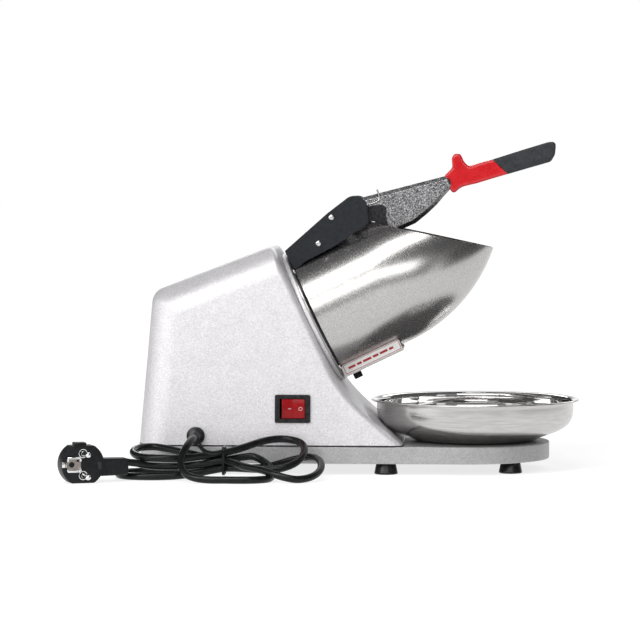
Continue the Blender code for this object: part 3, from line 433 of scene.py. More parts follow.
LABEL = surface("label_white", (0.7, 0.695, 0.68), (0.76, 0.755, 0.74), 0, (0.4, 0.52), 200,
                (900, 2e-5, 0.3), gloss=0.3)
LABEL_RED = surface("label_red", (0.3, 0.014, 0.017), (0.38, 0.02, 0.024), 0, (0.4, 0.52), 400,
                    (900, 1e-5, 0.3), gloss=0.3)
# Black rubber for the feet, gland and shaft seal; the same black also makes the strip and ring that are
# painted shadow at the housing seam and the drum's foot.
RUBBER_AND_SEAM_SHADOW = surface("black_rubber", (0.006, 0.006, 0.007), (0.012, 0.012, 0.013), 0, (0.2, 0.34), 200,
                 (900, 3e-5, 0.3), gloss=0.35)
PVC = surface("cord_pvc", (0.005, 0.006, 0.006), (0.01, 0.011, 0.011), 0, (0.16, 0.26), 200,
              (800, 3e-5, 0.3), gloss=0.2)


def dress(piece, finish, body="root"):
    """Gives a new piece its material and body. One called X_fine stands for the CAD node X."""
    piece.data.materials.clear()
    piece.data.materials.append(finish)
    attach(piece, body)
    if piece.name.endswith("_fine"):
        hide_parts(piece.name.removesuffix("_fine"))
    return piece


def level_normals(piece):
    """Weighted normals, so that large flat faces stay flat beside their rounded edges."""
    step = piece.modifiers.new("normals", "WEIGHTED_NORMAL")
    step.keep_sharp = True


def repaint(name, finish, bevel):
    """A CAD node that keeps its shape gets a material and, with a bevel above zero, softened edges."""
    node = NODES[name]
    for spot in node.material_slots:
        spot.link = "OBJECT"
        spot.material = finish
    if bevel:
        round_edges(node, bevel, 2, keep=False)


# --- base tray and feet ---
FOOT_PLACES = [(-165, 60), (24, 60), (134.6, 45)]
FOOT_PLACES = [(x, side * y) for x, y in FOOT_PLACES for side in (-1, 1)]
STUD_R = 2.0
STUD_TOP = 18.5
COVER_TOP = BASE_Z[0] + GAP + 2.0
POCKET_Z = 21.8


def base_outline(inset, z):
    """Plan outline of the base at a height: a half-round nose and two rounded rear corners."""
    corner_x = BASE_REAR_X + BASE_CORNER_R
    corner_y = HALF_WIDTH - BASE_CORNER_R
    corner_r = BASE_CORNER_R - inset
    nose = arc((BASE_NOSE_X, 0), HALF_WIDTH - inset, -90, 90, 72)
    left = arc((corner_x, corner_y), corner_r, 90, 180, 18)
    right = arc((corner_x, -corner_y), corner_r, 180, 270, 18)
    return [(x, y, z) for x, y in nose + left + right]


def make_base():
    ledge_z = COVER_TOP + GAP
    edge = 1.2
    rings = [base_outline(7, POCKET_Z), base_outline(7, ledge_z), base_outline(4, ledge_z),
             base_outline(4, BASE_Z[0])]
    for angle in np.radians([0, 30, 60, 90]):
        rings.append(base_outline(edge * (1 - sin(angle)), BASE_Z[0] + edge * (1 - cos(angle))))
    for angle in np.radians([90, 67, 45, 22, 0]):
        rings.append(base_outline(edge * (1 - sin(angle)), BASE_Z[1] - edge * (1 - cos(angle))))
    tray = loft("base_tray_fine", rings)
    bosses = []
    for k, (x, y) in enumerate(FOOT_PLACES):
        profile = [(STUD_R + GAP, ledge_z), (6, ledge_z), (6, POCKET_Z + 1), (0, POCKET_Z + 1),
                   (0, STUD_TOP + 1), (STUD_R + GAP, STUD_TOP + 1)]
        bosses.append(turned(f"boss_{k}", profile, 24, WORLD @ local((x, y, 0))))
    carve(tray, bosses, "UNION")
    carve(tray, [block("motor_opening", (-110, -44, 15), (-18, 44, 30))])
    level_normals(dress(tray, TRAY_SHADED_SILVER))

    profile = [(0, 0), (9, 0), (9.8, 0.15), (10.35, 0.55), (10.5, 1.1), (10.3, 1.9), (8.75, 9.2),
               (8.45, 9.8), (8, 10), (STUD_R, 10), (STUD_R, STUD_TOP), (0, STUD_TOP)]
    for k, (x, y) in enumerate(FOOT_PLACES):
        foot = turned(f"foot_{k + 1}_fine", profile, 64, WORLD @ local((x, y, 0)))
        dress(foot, RUBBER_AND_SEAM_SHADOW)


# --- housing ---
def meet(p, d, q, e):
    """Where two lines, each a point and a direction, cross."""
    t = ((q[0] - p[0]) * e[1] - (q[1] - p[1]) * e[0]) / (d[0] * e[1] - d[1] * e[0])
    return np.array([p[0] + d[0] * t, p[1] + d[1] * t])


def inward_normal(direction):
    """The (x, z) direction a quarter turn to the right, which points into the housing."""
    return np.array([direction[1], -direction[0]])


def fillet(corner, d_in, d_out, radius, steps):
    """Arc that rounds a corner between two unit directions, turning right."""
    n_in, n_out = inward_normal(d_in), inward_normal(d_out)
    half = np.arccos(np.clip(np.dot(d_in, d_out), -1, 1)) / 2
    centre = corner - d_in * radius * tan(half) + n_in * radius
    points = []
    for t in np.linspace(0, 1, steps + 1):
        n = n_in * sin((1 - t) * 2 * half) / sin(2 * half) + n_out * sin(t * 2 * half) / sin(2 * half)
        points.append(centre - n * radius)
    return points


REAR_POINT = np.array([-197.2, 25])
REAR_DIR = np.array([0.0857, 1]) / np.hypot(0.0857, 1)
TOP_POINT = np.array([-186.2, 161.2])
TOP_DIR = np.array([1, 0.385]) / np.hypot(1, 0.385)
FACE_DIR = np.array([sin(AXIS_TILT), -cos(AXIS_TILT)])
APRON_FOOT = np.array([39.5, SHELL_Z])
APRON_DIR = np.array([0.744, -0.668])
FACE_END_W = 48.0
APRON_STEPS = 34
FRONT_STEPS = 12
FRONT_RUN = TOP_EDGE_R + 14.0
EDGE_STEPS = 14


def apron_curve(shift, extra):
    """The hollow front below the hopper: a Bezier run, moved inwards and cut off at the foot."""
    start = np.array(on_axis(FACE_S, FACE_END_W))
    a, b, c, e = start, start + FACE_DIR * 31, APRON_FOOT - APRON_DIR * 31, APRON_FOOT
    dense = []
    for t in np.linspace(0, 1.3, 261):
        if t <= 1:
            p = a * (1 - t) ** 3 + b * 3 * t * (1 - t) ** 2 + c * 3 * t * t * (1 - t) + e * t ** 3
            d = (b - a) * (1 - t) ** 2 + (c - b) * 2 * t * (1 - t) + (e - c) * t * t
        else:
            p, d = e + APRON_DIR * 100 * (t - 1), APRON_DIR
        dense.append(p + inward_normal(unit(d)) * (shift + extra * min(1, 3 * t)))
    dense = np.array(dense)
    last = int(np.argmax(dense[:, 1] < SHELL_Z))
    share = (dense[last - 1, 1] - SHELL_Z) / (dense[last - 1, 1] - dense[last, 1])
    dense[last] = dense[last - 1] + (dense[last] - dense[last - 1]) * share
    return resample(dense[:last + 1], APRON_STEPS + 1)


def edge_drop(radius, distance):
    """How far a rounded edge falls back from its face, at a distance inside the edge's border."""
    left = radius - min(max(distance, 0), radius)
    return radius - sqrt(radius ** 2 - left ** 2)


def from_top(p):
    """Distance of an (x, z) point below the housing's sloping top."""
    return float(np.dot(p - TOP_POINT, inward_normal(TOP_DIR)))


def from_face(p):
    """Distance of an (x, z) point behind the plane that the hopper stands on."""
    return float(np.dot(p - np.array(on_axis(FACE_S, 0)), inward_normal(FACE_DIR)))


def housing_profile(skin, edge):
    """(x, y, z) round the housing from the rear foot, over the top, to the apron's foot.

    skin is 0 for the outside and 1 for the inside; edge runs from 0, where the surface is at
    full size, to 1, at the border of the flat side.
    """
    inset = WALL * skin
    back_r, front_r = TOP_EDGE_R - inset, FRONT_EDGE_R - inset
    back, front = back_r * edge, front_r * edge
    rear_p = REAR_POINT + inward_normal(REAR_DIR) * (inset + back)
    top_p = TOP_POINT + inward_normal(TOP_DIR) * (inset + back)
    face_p = np.array(on_axis(FACE_S, 0)) + inward_normal(FACE_DIR) * (inset + front)
    foot = rear_p + REAR_DIR * (SHELL_Z - rear_p[1]) / REAR_DIR[1]
    rear_top = meet(rear_p, REAR_DIR, top_p, TOP_DIR)
    top_front = meet(top_p, TOP_DIR, face_p, FACE_DIR)

    rows = [(foot, back)]
    radius = max(15.0 - inset - back, 3)
    rows += [(p, back) for p in fillet(rear_top, REAR_DIR, TOP_DIR, radius, 12)]
    radius = max(front_r - back, 1)
    corner = fillet(top_front, TOP_DIR, FACE_DIR, radius, 8)
    rows += [(p, from_top(p) - inset) for p in corner]
    places = [(p, back_gap, from_face(p) - inset) for p, back_gap in rows]

    last = corner[-1]
    run = FRONT_RUN - (from_top(last) - inset)
    for k in range(1, FRONT_STEPS + 1):
        p = last + FACE_DIR * run * (k / FRONT_STEPS) ** 1.3
        places.append((p, from_top(p) - inset, front))
    places += [(p, back_r, front) for p in apron_curve(inset + front, (APRON_WALL - WALL) * skin)]

    profile = []
    for p, back_gap, front_gap in places:
        drop = edge_drop(front_r, front_gap)
        y = half_width_at(p[1]) - inset - drop - edge_drop(back_r, back_gap - drop)
        profile.append((p[0], y, p[1]))
    return profile


def housing_grid(skin):
    """Rows of points across the housing, from the near side to the far side."""
    rows = []
    for k in range(EDGE_STEPS + 1):
        angle = pi / 2 * (1 - k / EDGE_STEPS)
        rows.append([(x, -y, z) for x, y, z in housing_profile(skin, 1 - cos(angle))])
    return rows + [[(x, -y, z) for x, y, z in row] for row in reversed(rows)]


def make_housing():
    verts, faces, grids = [], [], []
    for skin in (0, 1):
        rows = housing_grid(skin)
        start = len(verts)
        count = len(rows[0])
        verts += [p for row in rows for p in row]
        index = [[start + r * count + i for i in range(count)] for r in range(len(rows))]
        grids.append(index)
        for r in range(len(rows) - 1):
            for i in range(count - 1):
                faces.append([index[r][i], index[r][i + 1], index[r + 1][i + 1], index[r + 1][i]])
        faces.append(index[0])
        faces.append(index[-1])
    outer, inner = grids
    for r in range(len(outer) - 1):
        for end in (0, -1):
            faces.append([outer[r][end], outer[r + 1][end], inner[r + 1][end], inner[r][end]])
    for r in (0, -1):
        faces.append([outer[r][0], outer[r][-1], inner[r][-1], inner[r][0]])
    shell = solid("housing_shell_fine", verts, faces)

    nest = [(0, 10), (BOWL_FLAT + 1.5, 10), (BOWL_FLAT + 1.5, 25.5)]
    nest += [(r + 1.5, z) for r, z in BOWL_CURVE] + [(BOWL_R + 1.5, 52), (BOWL_R + 1.5, 70), (0, 70)]
    carve(shell, [
        rod("shaft_bore", 20, -20, 5, 48, DRIVE),
        rod("plate_seat", FLANGE_R + 0.4, FACE_S + GAP / 2, 30, 144, DRIVE),
        block("switch_cutout", (-14.6, -6, -11.4), (14.6, 8, 11.4), SWITCH),
        rod("gland_hole", 5.6, -8, 8, 40, GLAND),
        turned("bowl_nest", nest, 144, BOWL),
    ], sharp=28)
    level_normals(dress(shell, SILVER))

    # A thin black strip round the housing's foot, just proud of the wall, is painted shadow for the shaded
    # seam above the tray.
    rows = housing_grid(0)
    feet = np.array([row[0] for row in rows] + [row[-1] for row in reversed(rows)])
    middle = feet.mean(axis=0)
    sections = []
    for x, y, _ in feet - middle:
        outer, inner = (middle + np.array([x, y, 0]) * f for f in (1.0022, 0.975))
        sections.append([(p[0], p[1], SHELL_Z + z) for p, z in ((outer, -0.2), (outer, 0.75), (inner, 0.75),
                                                                (inner, -0.2))])
    dress(loft("housing_seam_painted_shadow", sections, closed=True), RUBBER_AND_SEAM_SHADOW)


# --- hopper ---
def drum_radius(s):
    """Radius of the drum's outside at a place along its axis, where its nose curves in."""
    if s <= DRUM_STRAIGHT:
        return DRUM_R
    return DRUM_R - (DRUM_ARC_R - sqrt(DRUM_ARC_R ** 2 - (s - DRUM_STRAIGHT) ** 2))


def make_drum():
    low, high = FACE_S + GAP, -GAP
    plate = [(20, low), (62.2, low), (62.75, low + 0.2), (FLANGE_R, low + 0.7), (FLANGE_R, high - 0.6),
             (62.8, high - 0.15), (62.3, high), (20, high)]
    dress(turned("face_plate_fine", plate, 144, DRIVE), SILVER)

    stations = list(np.linspace(DRUM_STRAIGHT, DRUM_END, 34))
    outer = [(drum_radius(s), s) for s in stations]
    inner = [(drum_radius(s) - DRUM_WALL, s) for s in reversed(stations)]
    profile = [(14, 0), (62.7, 0), (FLANGE_R, 0.3), (FLANGE_R, 0.9), (62.7, DRUM_WALL),
               (DRUM_R + 1, DRUM_WALL), (DRUM_R + 0.3, DRUM_WALL + 0.3), (DRUM_R, DRUM_WALL + 1),
               (DRUM_R, 34)] + outer
    inside = DRUM_R - DRUM_WALL
    profile += inner + [(inside, 34), (inside, DRUM_WALL + 2.2), (inside - 0.5, DRUM_WALL + 1.1),
                        (inside - 1.6, DRUM_WALL + 0.6), (14, DRUM_WALL + 0.6)]
    drum = turned("hopper_drum_fine", profile, 144, DRIVE)
    (s0, w0), (s1, w1) = MOUTH_TOP, MOUTH_TIP
    slope = (w1 - w0) / (s1 - s0)
    start = (w0 - 20 * slope, s0 - 20)
    end = (w0 + 190 * slope, s0 + 190)
    outline = [start, end, (start[0] - 60, end[1]), (start[0] - 60, start[1])]
    mouth = slab("mouth_cut", outline, -90, 90, DRIVE)
    outlet = block("outlet_cut", (40, -25, 20), (75, 25, 38), DRIVE)
    carve(drum, [mouth, outlet], sharp=30)
    level_normals(dress(drum, DRUM_STEEL))
    # A black ring at the drum's foot, between flange and wall, is painted shadow for the shaded gap there.
    foot = DRUM_WALL - 0.1
    shadow_ring = [(DRUM_R + out, foot + up)
            for out, up in ((-0.3, 0), (1.7, 0), (1.7, 0.7), (1.2, 1.6), (0.5, 2.1), (-0.3, 2.3))]
    dress(turned("drum_foot_painted_shadow", shadow_ring, 144, DRIVE), RUBBER_AND_SEAM_SHADOW)


CHUTE_Y = 28.0
CHUTE_W = 61.0
LABEL_W = (49.6, 59.4)
LABEL_S = (3.5, 59.5)
LABEL_T = 0.6


def rounded_rect(u0, u1, v0, v1, radius, steps=6):
    """Outline of a rectangle with rounded corners, from its four sides."""
    points = []
    for turn, (u, v) in enumerate(((u1, v1), (u0, v1), (u0, v0), (u1, v0))):
        centre = (u + (-radius if u == u1 else radius), v + (-radius if v == v1 else radius))
        points += arc(centre, radius, 90 * turn, 90 * turn + 90, steps)
    return points


def rounded_box(half_u, half_v, radius, steps=6):
    """Outline of a rectangle with rounded corners about its middle."""
    return rounded_rect(-half_u, half_u, -half_v, half_v, radius, steps)


def label_outline(inset, radius):
    """Outline of the label plate, or of a line inside its border."""
    (w0, w1), (s0, s1) = LABEL_W, LABEL_S
    return rounded_rect(w0 + inset, w1 - inset, s0 + inset, s1 - inset, radius)


def printed(name, outlines, place, sunk, proud, seat):
    """A printed mark: one outline, or one with a hole, from inside a face to a hair in front of it."""
    def ring(outline, rise):
        return [place(u, v, rise) for u, v in outline]
    outside, inside = outlines[0], outlines[-1]
    rings = [ring(outside, -sunk), ring(outside, proud)]
    if len(outlines) > 1:
        rings = [ring(inside, -sunk), *rings, ring(inside, proud)]
    return loft(name, rings, seat, closed=len(outlines) > 1)


def make_chute():
    back = -CHUTE_Y - GAP
    front = back - LABEL_T
    rings = [at_y(label_outline(inset, 1.3), y)
             for y, inset in ((back, 0.15), (back - 0.15, 0), (back - 0.45, 0), (front, 0.15))]
    dress(loft("chute_label_fine", rings, DRIVE), LABEL)
    w_mid = sum(LABEL_W) / 2

    def mark(name, *outlines):
        made = printed(name, outlines, lambda w, s, proud: (w, front - proud, s), 0.2, 0.05, DRIVE)
        dress(made, LABEL_RED)

    mark("label_border", label_outline(0.6, 0.9), label_outline(1.1, 0.6))
    stripe_s = 8.0
    tall = 1.05
    for k, run in enumerate((7, 4.6, 8.2, 5.4, 7.6, 4.2)):
        mark(f"label_stripe_{k + 1}", rounded_rect(w_mid - tall, w_mid + tall, stripe_s, stripe_s + run, 0.4))
        stripe_s += run + 1.5

    head = [(0, 0), (3.3, 0), (3.8, 0.2), (4, 0.6), (4, 5.2), (3.85, 5.7), (3.4, 6), (0, 6)]
    seat = DRIVE @ local((CHUTE_W + GAP, 0, 11.5), (0, pi / 2, 0))
    bolt = turned("chute_bolt_fine", head, 48, seat)
    carve(bolt, [rod("hex", 1.9, 3.2, 8, 6, seat)])
    dress(bolt, BLACK_METAL)


CROSS_TURN = 0.4


def cross_screw(node, head, seat, size, depth):
    """A screw with a cross in its head, cut by two tapered blades."""
    screw = turned(f"{node}_fine", head, 32, seat)
    top = max(height for _, height in head)
    tools = []
    for k, turn in enumerate((CROSS_TURN, CROSS_TURN + pi / 2)):
        long, thin = size, size * 0.28
        rings = [[(x * f, y * thin, z) for x, y in ((-long, -1), (long, -1), (long, 1), (-long, 1))]
                 for z, f in ((top - depth, 0.45), (top + 0.5, 1.08))]
        tools.append(loft(f"{node}_recess_{k}", rings, seat @ local(turn=(0, 0, turn))))
    carve(screw, tools)
    dress(screw, SCREW_STEEL)


FLANGE_SCREW_R = 60.2
FLANGE_SCREW_ANGLES = {-1: radians(42), 1: radians(34)}


def make_flange_screws():
    number = 1
    head = [(0, 0), (2.25, 0), (2.3, 0.1), (2.3, 0.75), (2.15, 1.1), (1.75, 1.4), (1.1, 1.62), (0, 1.7)]
    for top, angle in FLANGE_SCREW_ANGLES.items():
        for side in (-1, 1):
            place = (top * FLANGE_SCREW_R * cos(angle), side * FLANGE_SCREW_R * sin(angle), DRUM_WALL + GAP)
            cross_screw(f"flange_screw_{number}", head, DRIVE @ local(place), 1.2, 0.9)
            number += 1


# --- bracket, pin and spring ---
CHEEK_SCREWS = [(-25.9, 227.7), (-37.5, 204.4)]
BLOCK_ARCH_R = 59.0


def block_section(half, s_low, s_top, w_top):
    """A slice of the bracket's block: arched over the drum below, straight above, leaning forwards."""
    spread = np.arcsin(half / BLOCK_ARCH_R)
    arch = [(-BLOCK_ARCH_R * cos(a), BLOCK_ARCH_R * sin(a)) for a in np.linspace(-spread, spread, 25)]
    w_low = arch[0][0]
    lean = (s_top - s_low) / (w_low - w_top)
    return [(w, y, s_low + lean * (w_low - w)) for w, y in arch + [(w_top, half), (w_top, -half)]]


def make_bracket():
    top = arc((-5.2, 235), 12, 135, -8, 24)
    foot_s = DRUM_WALL + 2 * GAP
    outline = [on_axis(foot_s, -65.2), (-29.3, 231.6)] + top
    outline += [(7.9, 222.5), (-22.3, 202.1), (-49.8, 187.7), on_axis(foot_s, -45)]
    for name, side in (("near", -1), ("far", 1)):
        y0, y1 = sorted((side * CHEEK_Y, side * (CHEEK_Y - CHEEK_T)))
        cheek = round_edges(slab(f"bracket_cheek_{name}_fine", outline, y0, y1), 0.7)
        tools = [
            turned("relief", [(0, -70), (DRUM_R + 0.4, -70), (DRUM_R + 0.5, 120), (0, 120)], 144, DRIVE),
            rod("pin_hole", PIN_HOLE_R, 0, 9, 32,
                WORLD @ local((PIVOT[0], side * (CHEEK_Y - CHEEK_SKIN), PIVOT[2]), (side * pi / 2, 0, 0))),
        ]
        for x, z in CHEEK_SCREWS:
            seat = WORLD @ local((x, side * (CHEEK_Y - CHEEK_T / 2), z), (pi / 2, 0, 0))
            tools.append(rod("screw_hole", CHEEK_HOLE_R, -6, 6, 24, seat))
        carve(cheek, tools)
        level_normals(dress(cheek, BLACK_METAL))

    inside = CHEEK_Y - CHEEK_T - GAP
    rings = [block_section(inside, 4, 4, -65), block_section(inside, 46, 56, -78)]
    bracket = round_edges(loft("bracket_block_fine", rings, DRIVE), 0.8)
    tools = []
    for x, z in CHEEK_SCREWS:
        for side in (-1, 1):
            seat = WORLD @ local((x, side * inside, z), (pi / 2, 0, 0))
            tools.append(rod("block_hole", CHEEK_HOLE_R, -10, 10, 24, seat))
    carve(bracket, tools)
    level_normals(dress(bracket, BLACK_METAL))

    number = 1
    head = [(0, 2.2), (1, 2.15), (1.9, 1.9), (2.5, 1.4), (2.75, 0.8), (2.75, 0.1), (2.65, 0), (1.5, 0),
            (1.5, -9), (0, -9)]
    for x, z in CHEEK_SCREWS:
        for side in (-1, 1):
            seat = WORLD @ local((x, side * (CHEEK_Y + GAP), z), (-side * pi / 2, 0, 0))
            cross_screw(f"cheek_screw_{number}", head, seat, 1.5, 1.1)
            number += 1


SPRING_LEG = [(9, -14.9, 7.6), (18, -14.4, 9.4), (22.8, -14.3, 12), (23.2, -14.3, 16),
              (21.2, -14.3, 21.5)]


def helix(start, end, right, up, radius, angle, turns, steps):
    """Points of a coil between two places, with so many steps to a turn."""
    points = []
    for t in np.linspace(0, 1, abs(turns) * steps + 1):
        at = angle + 2 * pi * turns * t
        points.append(start + (end - start) * t + radius * (right * cos(at) + up * sin(at)))
    return points


def make_spring():
    right, up = np.array((1, 0, 0)), np.array((0, 0, 1))
    points = helix(np.array((0, -25.5, 0)), np.array((0, -15.5, 0)), right, up, 6.6, radians(90), -5, 28)
    points += list(spline([points[-1]] + SPRING_LEG, 30)[1:])
    dress(wire("torsion_spring_fine", points, 0.8, LEVER), SCREW_STEEL, "lever")
    start, end = np.array(SPRING_LEG[0]), np.array(SPRING_LEG[2])
    along = unit(end - start)
    across = unit(np.cross(along, (0, 1, 0)))
    points = helix(start, end, across, np.cross(along, across), 1.35, 0, 7, 18)
    dress(wire("spring_keeper_coil", points, 0.4, LEVER), SCREW_STEEL, "lever")


# --- lever, press plate and grips ---
HOLLOW_DEEP = 2.0
LEVER_HALF = 13.0
NECK_W = (-46.5, -35)
NECK_MIDDLE = sum(NECK_W) / 2
PLATE_S = (48, 53)
PLATE_R = 51.0
PLATE_HALF_Y = 35.5
PLATE_TOP_W = -48.0
PLATE_LOW_W = 46.0


def make_lever():
    neck_top, neck_low = NECK_W
    hub = arc((0, 0), 10.8, 95, 285, 28)
    under = rel(on_axis(85.2, -60.6), on_axis(85.4, -55), on_axis(84, -49.4), on_axis(70, neck_top),
                on_axis(PLATE_S[1] + GAP, neck_top))
    back = rel(on_axis(PLATE_S[1] + GAP, neck_low), on_axis(98, neck_low))
    web = rel((36.1, 216.4), (48.9, 222.1), (59, 230.3), (67.9, 238.7), (74.2, 246.3), (80.4, 253), (84, 257))
    top = rel((79, 265.6), (0, 245.2))
    lever = slab("press_lever_fine", hub + under + back + web + top, -LEVER_HALF, LEVER_HALF, LEVER)
    round_edges(lever, 3.5, 1)
    round_edges(lever, 0.5, 2, 25)
    tongue = rel((72, 262), (118, 276), (168, 291), (168, 284), (118, 270), (76, 255.5))
    fill = rel((4, 236), (16, 236), (15.4, 223.7), (4, 223.7))
    carve(lever, [slab("grip_tongue", tongue, -5, 5, LEVER)], "UNION")
    carve(lever, [slab("arm_fill", fill, -LEVER_HALF + 1.2, LEVER_HALF - 1.2, LEVER)], "UNION")
    seat = WORLD @ local(AXIS_ORIGIN, DRIVE_TURN) @ local((NECK_MIDDLE, 0, 0))
    carve(lever, [
        rod("lever_bore", PIN_HOLE_R, -40, 40, 40, LEVER @ local(turn=(pi / 2, 0, 0))),
        rod("plate_screw_bore", PLATE_HOLE_R, 40, 66, 24, seat),
    ])
    hollow = rel((-2, 235), (10, 238), (19, 239), (23, 236.5), (22.6, 229), (24.6, 219),
                 (-2, 219))
    carve(lever, [slab("arm_hollow", hollow, -LEVER_HALF - 4, -LEVER_HALF + HOLLOW_DEEP, LEVER)])
    dress(lever, CAST_ALLOY, "lever")
    # Floor faces of the hollow take the near-black alloy: painted shade in the recess.
    lever.data.materials.append(CAST_HOLLOW_SHADE)
    for face in lever.data.polygons:
        middle = face.center
        if abs(middle.y * 1000 + LEVER_HALF - HOLLOW_DEEP) < 0.1 and abs(face.normal.y) > 0.9:
            face.material_index = 1
    level_normals(lever)


def make_press_plate():
    ring = []
    for k in range(120):
        angle = 2 * pi * k / 120
        ring.append((max(min(PLATE_R * cos(angle), PLATE_LOW_W), PLATE_TOP_W), PLATE_HALF_Y * sin(angle)))
    rings = []
    low, high = PLATE_S
    for s, inset in ((low, 1), (low + 0.15, 0.45), (low + 0.5, 0.12), (low + 1, 0), (high - 1, 0),
                     (high - 0.5, 0.12), (high - 0.15, 0.45), (high, 1)):
        f = 1 - inset / PLATE_HALF_Y
        rings.append([(w * f, y * f, s) for w, y in ring])
    seat = DRIVE @ local((NECK_MIDDLE, 0, 0))
    plate = loft("press_plate_fine", rings, DRIVE)
    carve(plate, [rod("plate_hole", PLATE_HOLE_R, 40, 60, 24, seat)])
    level_normals(dress(plate, DISC_STEEL, "lever"))
    profile = [(0, low - 3), (1.8, low - 2.9), (3.2, low - 2.5), (4, low - 1.6), (4, low - GAP),
               (2, low - GAP), (2, 64), (0, 64)]
    screw = turned("press_plate_screw_fine", profile, 40, seat)
    dress(screw, SCREW_STEEL, "lever")


def make_grips():
    """One moulded handle, cut on a slanting line into its red and its black sleeve."""
    outline = rel((74.6, 264.8), (82.2, 272.2), (81.4, 281), (84.2, 285.2), (89.4, 284.8), (92.6, 277.8),
                  (97, 273.4), (106, 276.4), (118, 279.6), (145, 288.2), (168, 295.2), (173.4, 295.6),
                  (175.2, 293.2), (174.4, 284), (170.8, 277.6), (152, 272.2), (132, 266.4), (118, 262.3),
                  (104, 258), (97, 256.4), (91.5, 255), (88, 252.9), (85.2, 250.2), (82.4, 249.2),
                  (80.6, 251.8))
    socket = rel((70, 261.9), (118, 276.6), (168.6, 291.8), (168.6, 283.2), (118, 269.4), (70, 253.3))
    top, foot = np.array(rel((118.05, 279.6), (132, 266.4)))
    line = unit(foot - top)
    across = np.array([-line[1], line[0]])
    for name, side, finish in (("red", -1, RED), ("black", 1, BLACK)):
        sleeve = round_edges(slab(f"grip_sleeve_{name}_fine", outline, -11, 11, LEVER), 3.6, 3)
        remesh = sleeve.modifiers.new("grid", "REMESH")
        remesh.mode = "VOXEL"
        remesh.voxel_size = 0.9 * MM
        remesh.use_smooth_shade = True
        smooth = sleeve.modifiers.new("soft", "SMOOTH")
        smooth.factor = 0.5
        smooth.iterations = 7
        bake(sleeve)
        a, b = top - line * 60 + across * side * -0.25, foot + line * 60 + across * side * -0.25
        c, d = b + across * side * -200, a + across * side * -200
        tools = [slab(f"{name}_far_half", [tuple(p) for p in (a, b, c, d)], -40, 40, LEVER),
                 slab(f"{name}_socket", socket, -5.3, 5.3, LEVER)]
        carve(sleeve, tools)
        dress(sleeve, finish, "lever")


# --- bowl ---
def make_bowl():
    z0, z1 = BOWL_Z
    wall = spline([(BOWL_FLAT - 4, z0), (BOWL_FLAT + 2, z0 + 0.5)] + BOWL_CURVE + [(88.9, z1 - 3.4)], 34)
    outside = [(0, z0), (24, z0), *wall]
    rim = [(89.1, z1 - 2.2), (89.8, z1 - 1.55), (91, z1 - 1.35)]
    roll = arc((BOWL_R - 0.85, z1 - 0.85), 0.85, -90, 90, 10)
    lip = [(91, z1 - 0.45), (89.2, z1 - 0.6), (88.4, z1 - 1.5), (88, z1 - 3.4)]
    profile = outside + rim + roll + lip
    inner = []
    for k in range(len(wall)):
        before, after = wall[max(k - 1, 0)], wall[min(k + 1, len(wall) - 1)]
        d = unit(after - before)
        inner.append((wall[k][0] - d[1] * BOWL_T, wall[k][1] + d[0] * BOWL_T))
    profile += [*reversed(inner[:-1]), (24, z0 + BOWL_T), (0, z0 + BOWL_T)]
    bowl = turned("ice_bowl_fine", profile, 160, BOWL, 50)
    dress(bowl, BOWL_SATIN, "bowl")
    bowl.data.materials.append(BOWL_MIRROR)
    centre = BOWL @ Vector((0, 0, 0))
    for face in bowl.data.polygons:
        out = Vector((face.center.x - centre.x, face.center.y - centre.y, 0))
        inward = face.normal.dot(out) < 0 or face.normal.z > 0.5
        face.material_index = 1 if inward else 0


# --- switch ---
def rocker_front(x):
    """How far the rocker's two-sided front stands out, at a place along it."""
    return -ROCKER_AXIS_Y - 2.2 - 1.6 * (abs(x) / 10) ** 1.25


def make_switch():
    rings = [at_y(rounded_box(15.75 - inset, 12.5 - inset, radius), y)
             for y, inset, radius in ((-GAP, 0, 1.6), (-1.7, 0, 1.6), (-2.1, 0.25, 1.5), (-2.3, 0.7, 1.2))]
    body = loft("switch_body_fine", rings, SWITCH)
    carve(body, [block("switch_box", (-14.2, -1, -11), (14.2, 22, 11), SWITCH)], "UNION")
    outline = rounded_box(11.3, 8.9, 0.8)
    carve(body, [slab("switch_pocket", outline, -6, 14, SWITCH)])
    round_edges(body, 0.35, 2)
    level_normals(dress(body, BEZEL))

    xs = np.linspace(-10, 10, 21)
    outline = [(x, rocker_front(x)) for x in xs]
    outline += [(10.3, -ROCKER_AXIS_Y - 2), (9, 3), (5, 6.5), (-5, 6.5), (-9, 3),
                (-10.3, -ROCKER_AXIS_Y - 2)]
    rocker = loft("switch_rocker_fine", [[(x, y, z) for x, y in outline] for z in (-8.5, 8.5)], ROCKER)
    round_edges(rocker, 0.5, 3)
    dress(rocker, ROCKER_RED, "rocker")

    def mark(name, *outlines):
        made = printed(name, outlines, lambda x, z, proud: (x, rocker_front(x) - proud, z), 0.3, 0.06, ROCKER)
        dress(made, MARK, "rocker")

    mark("rocker_mark_bar", rounded_rect(-4.8, -1.9, -0.35, 0.35, 0.2, 3))
    mark("rocker_mark_ring", arc((6.2, 0), 1.75, 0, 350, 35), arc((6.2, 0), 1.2, 0, 350, 35))


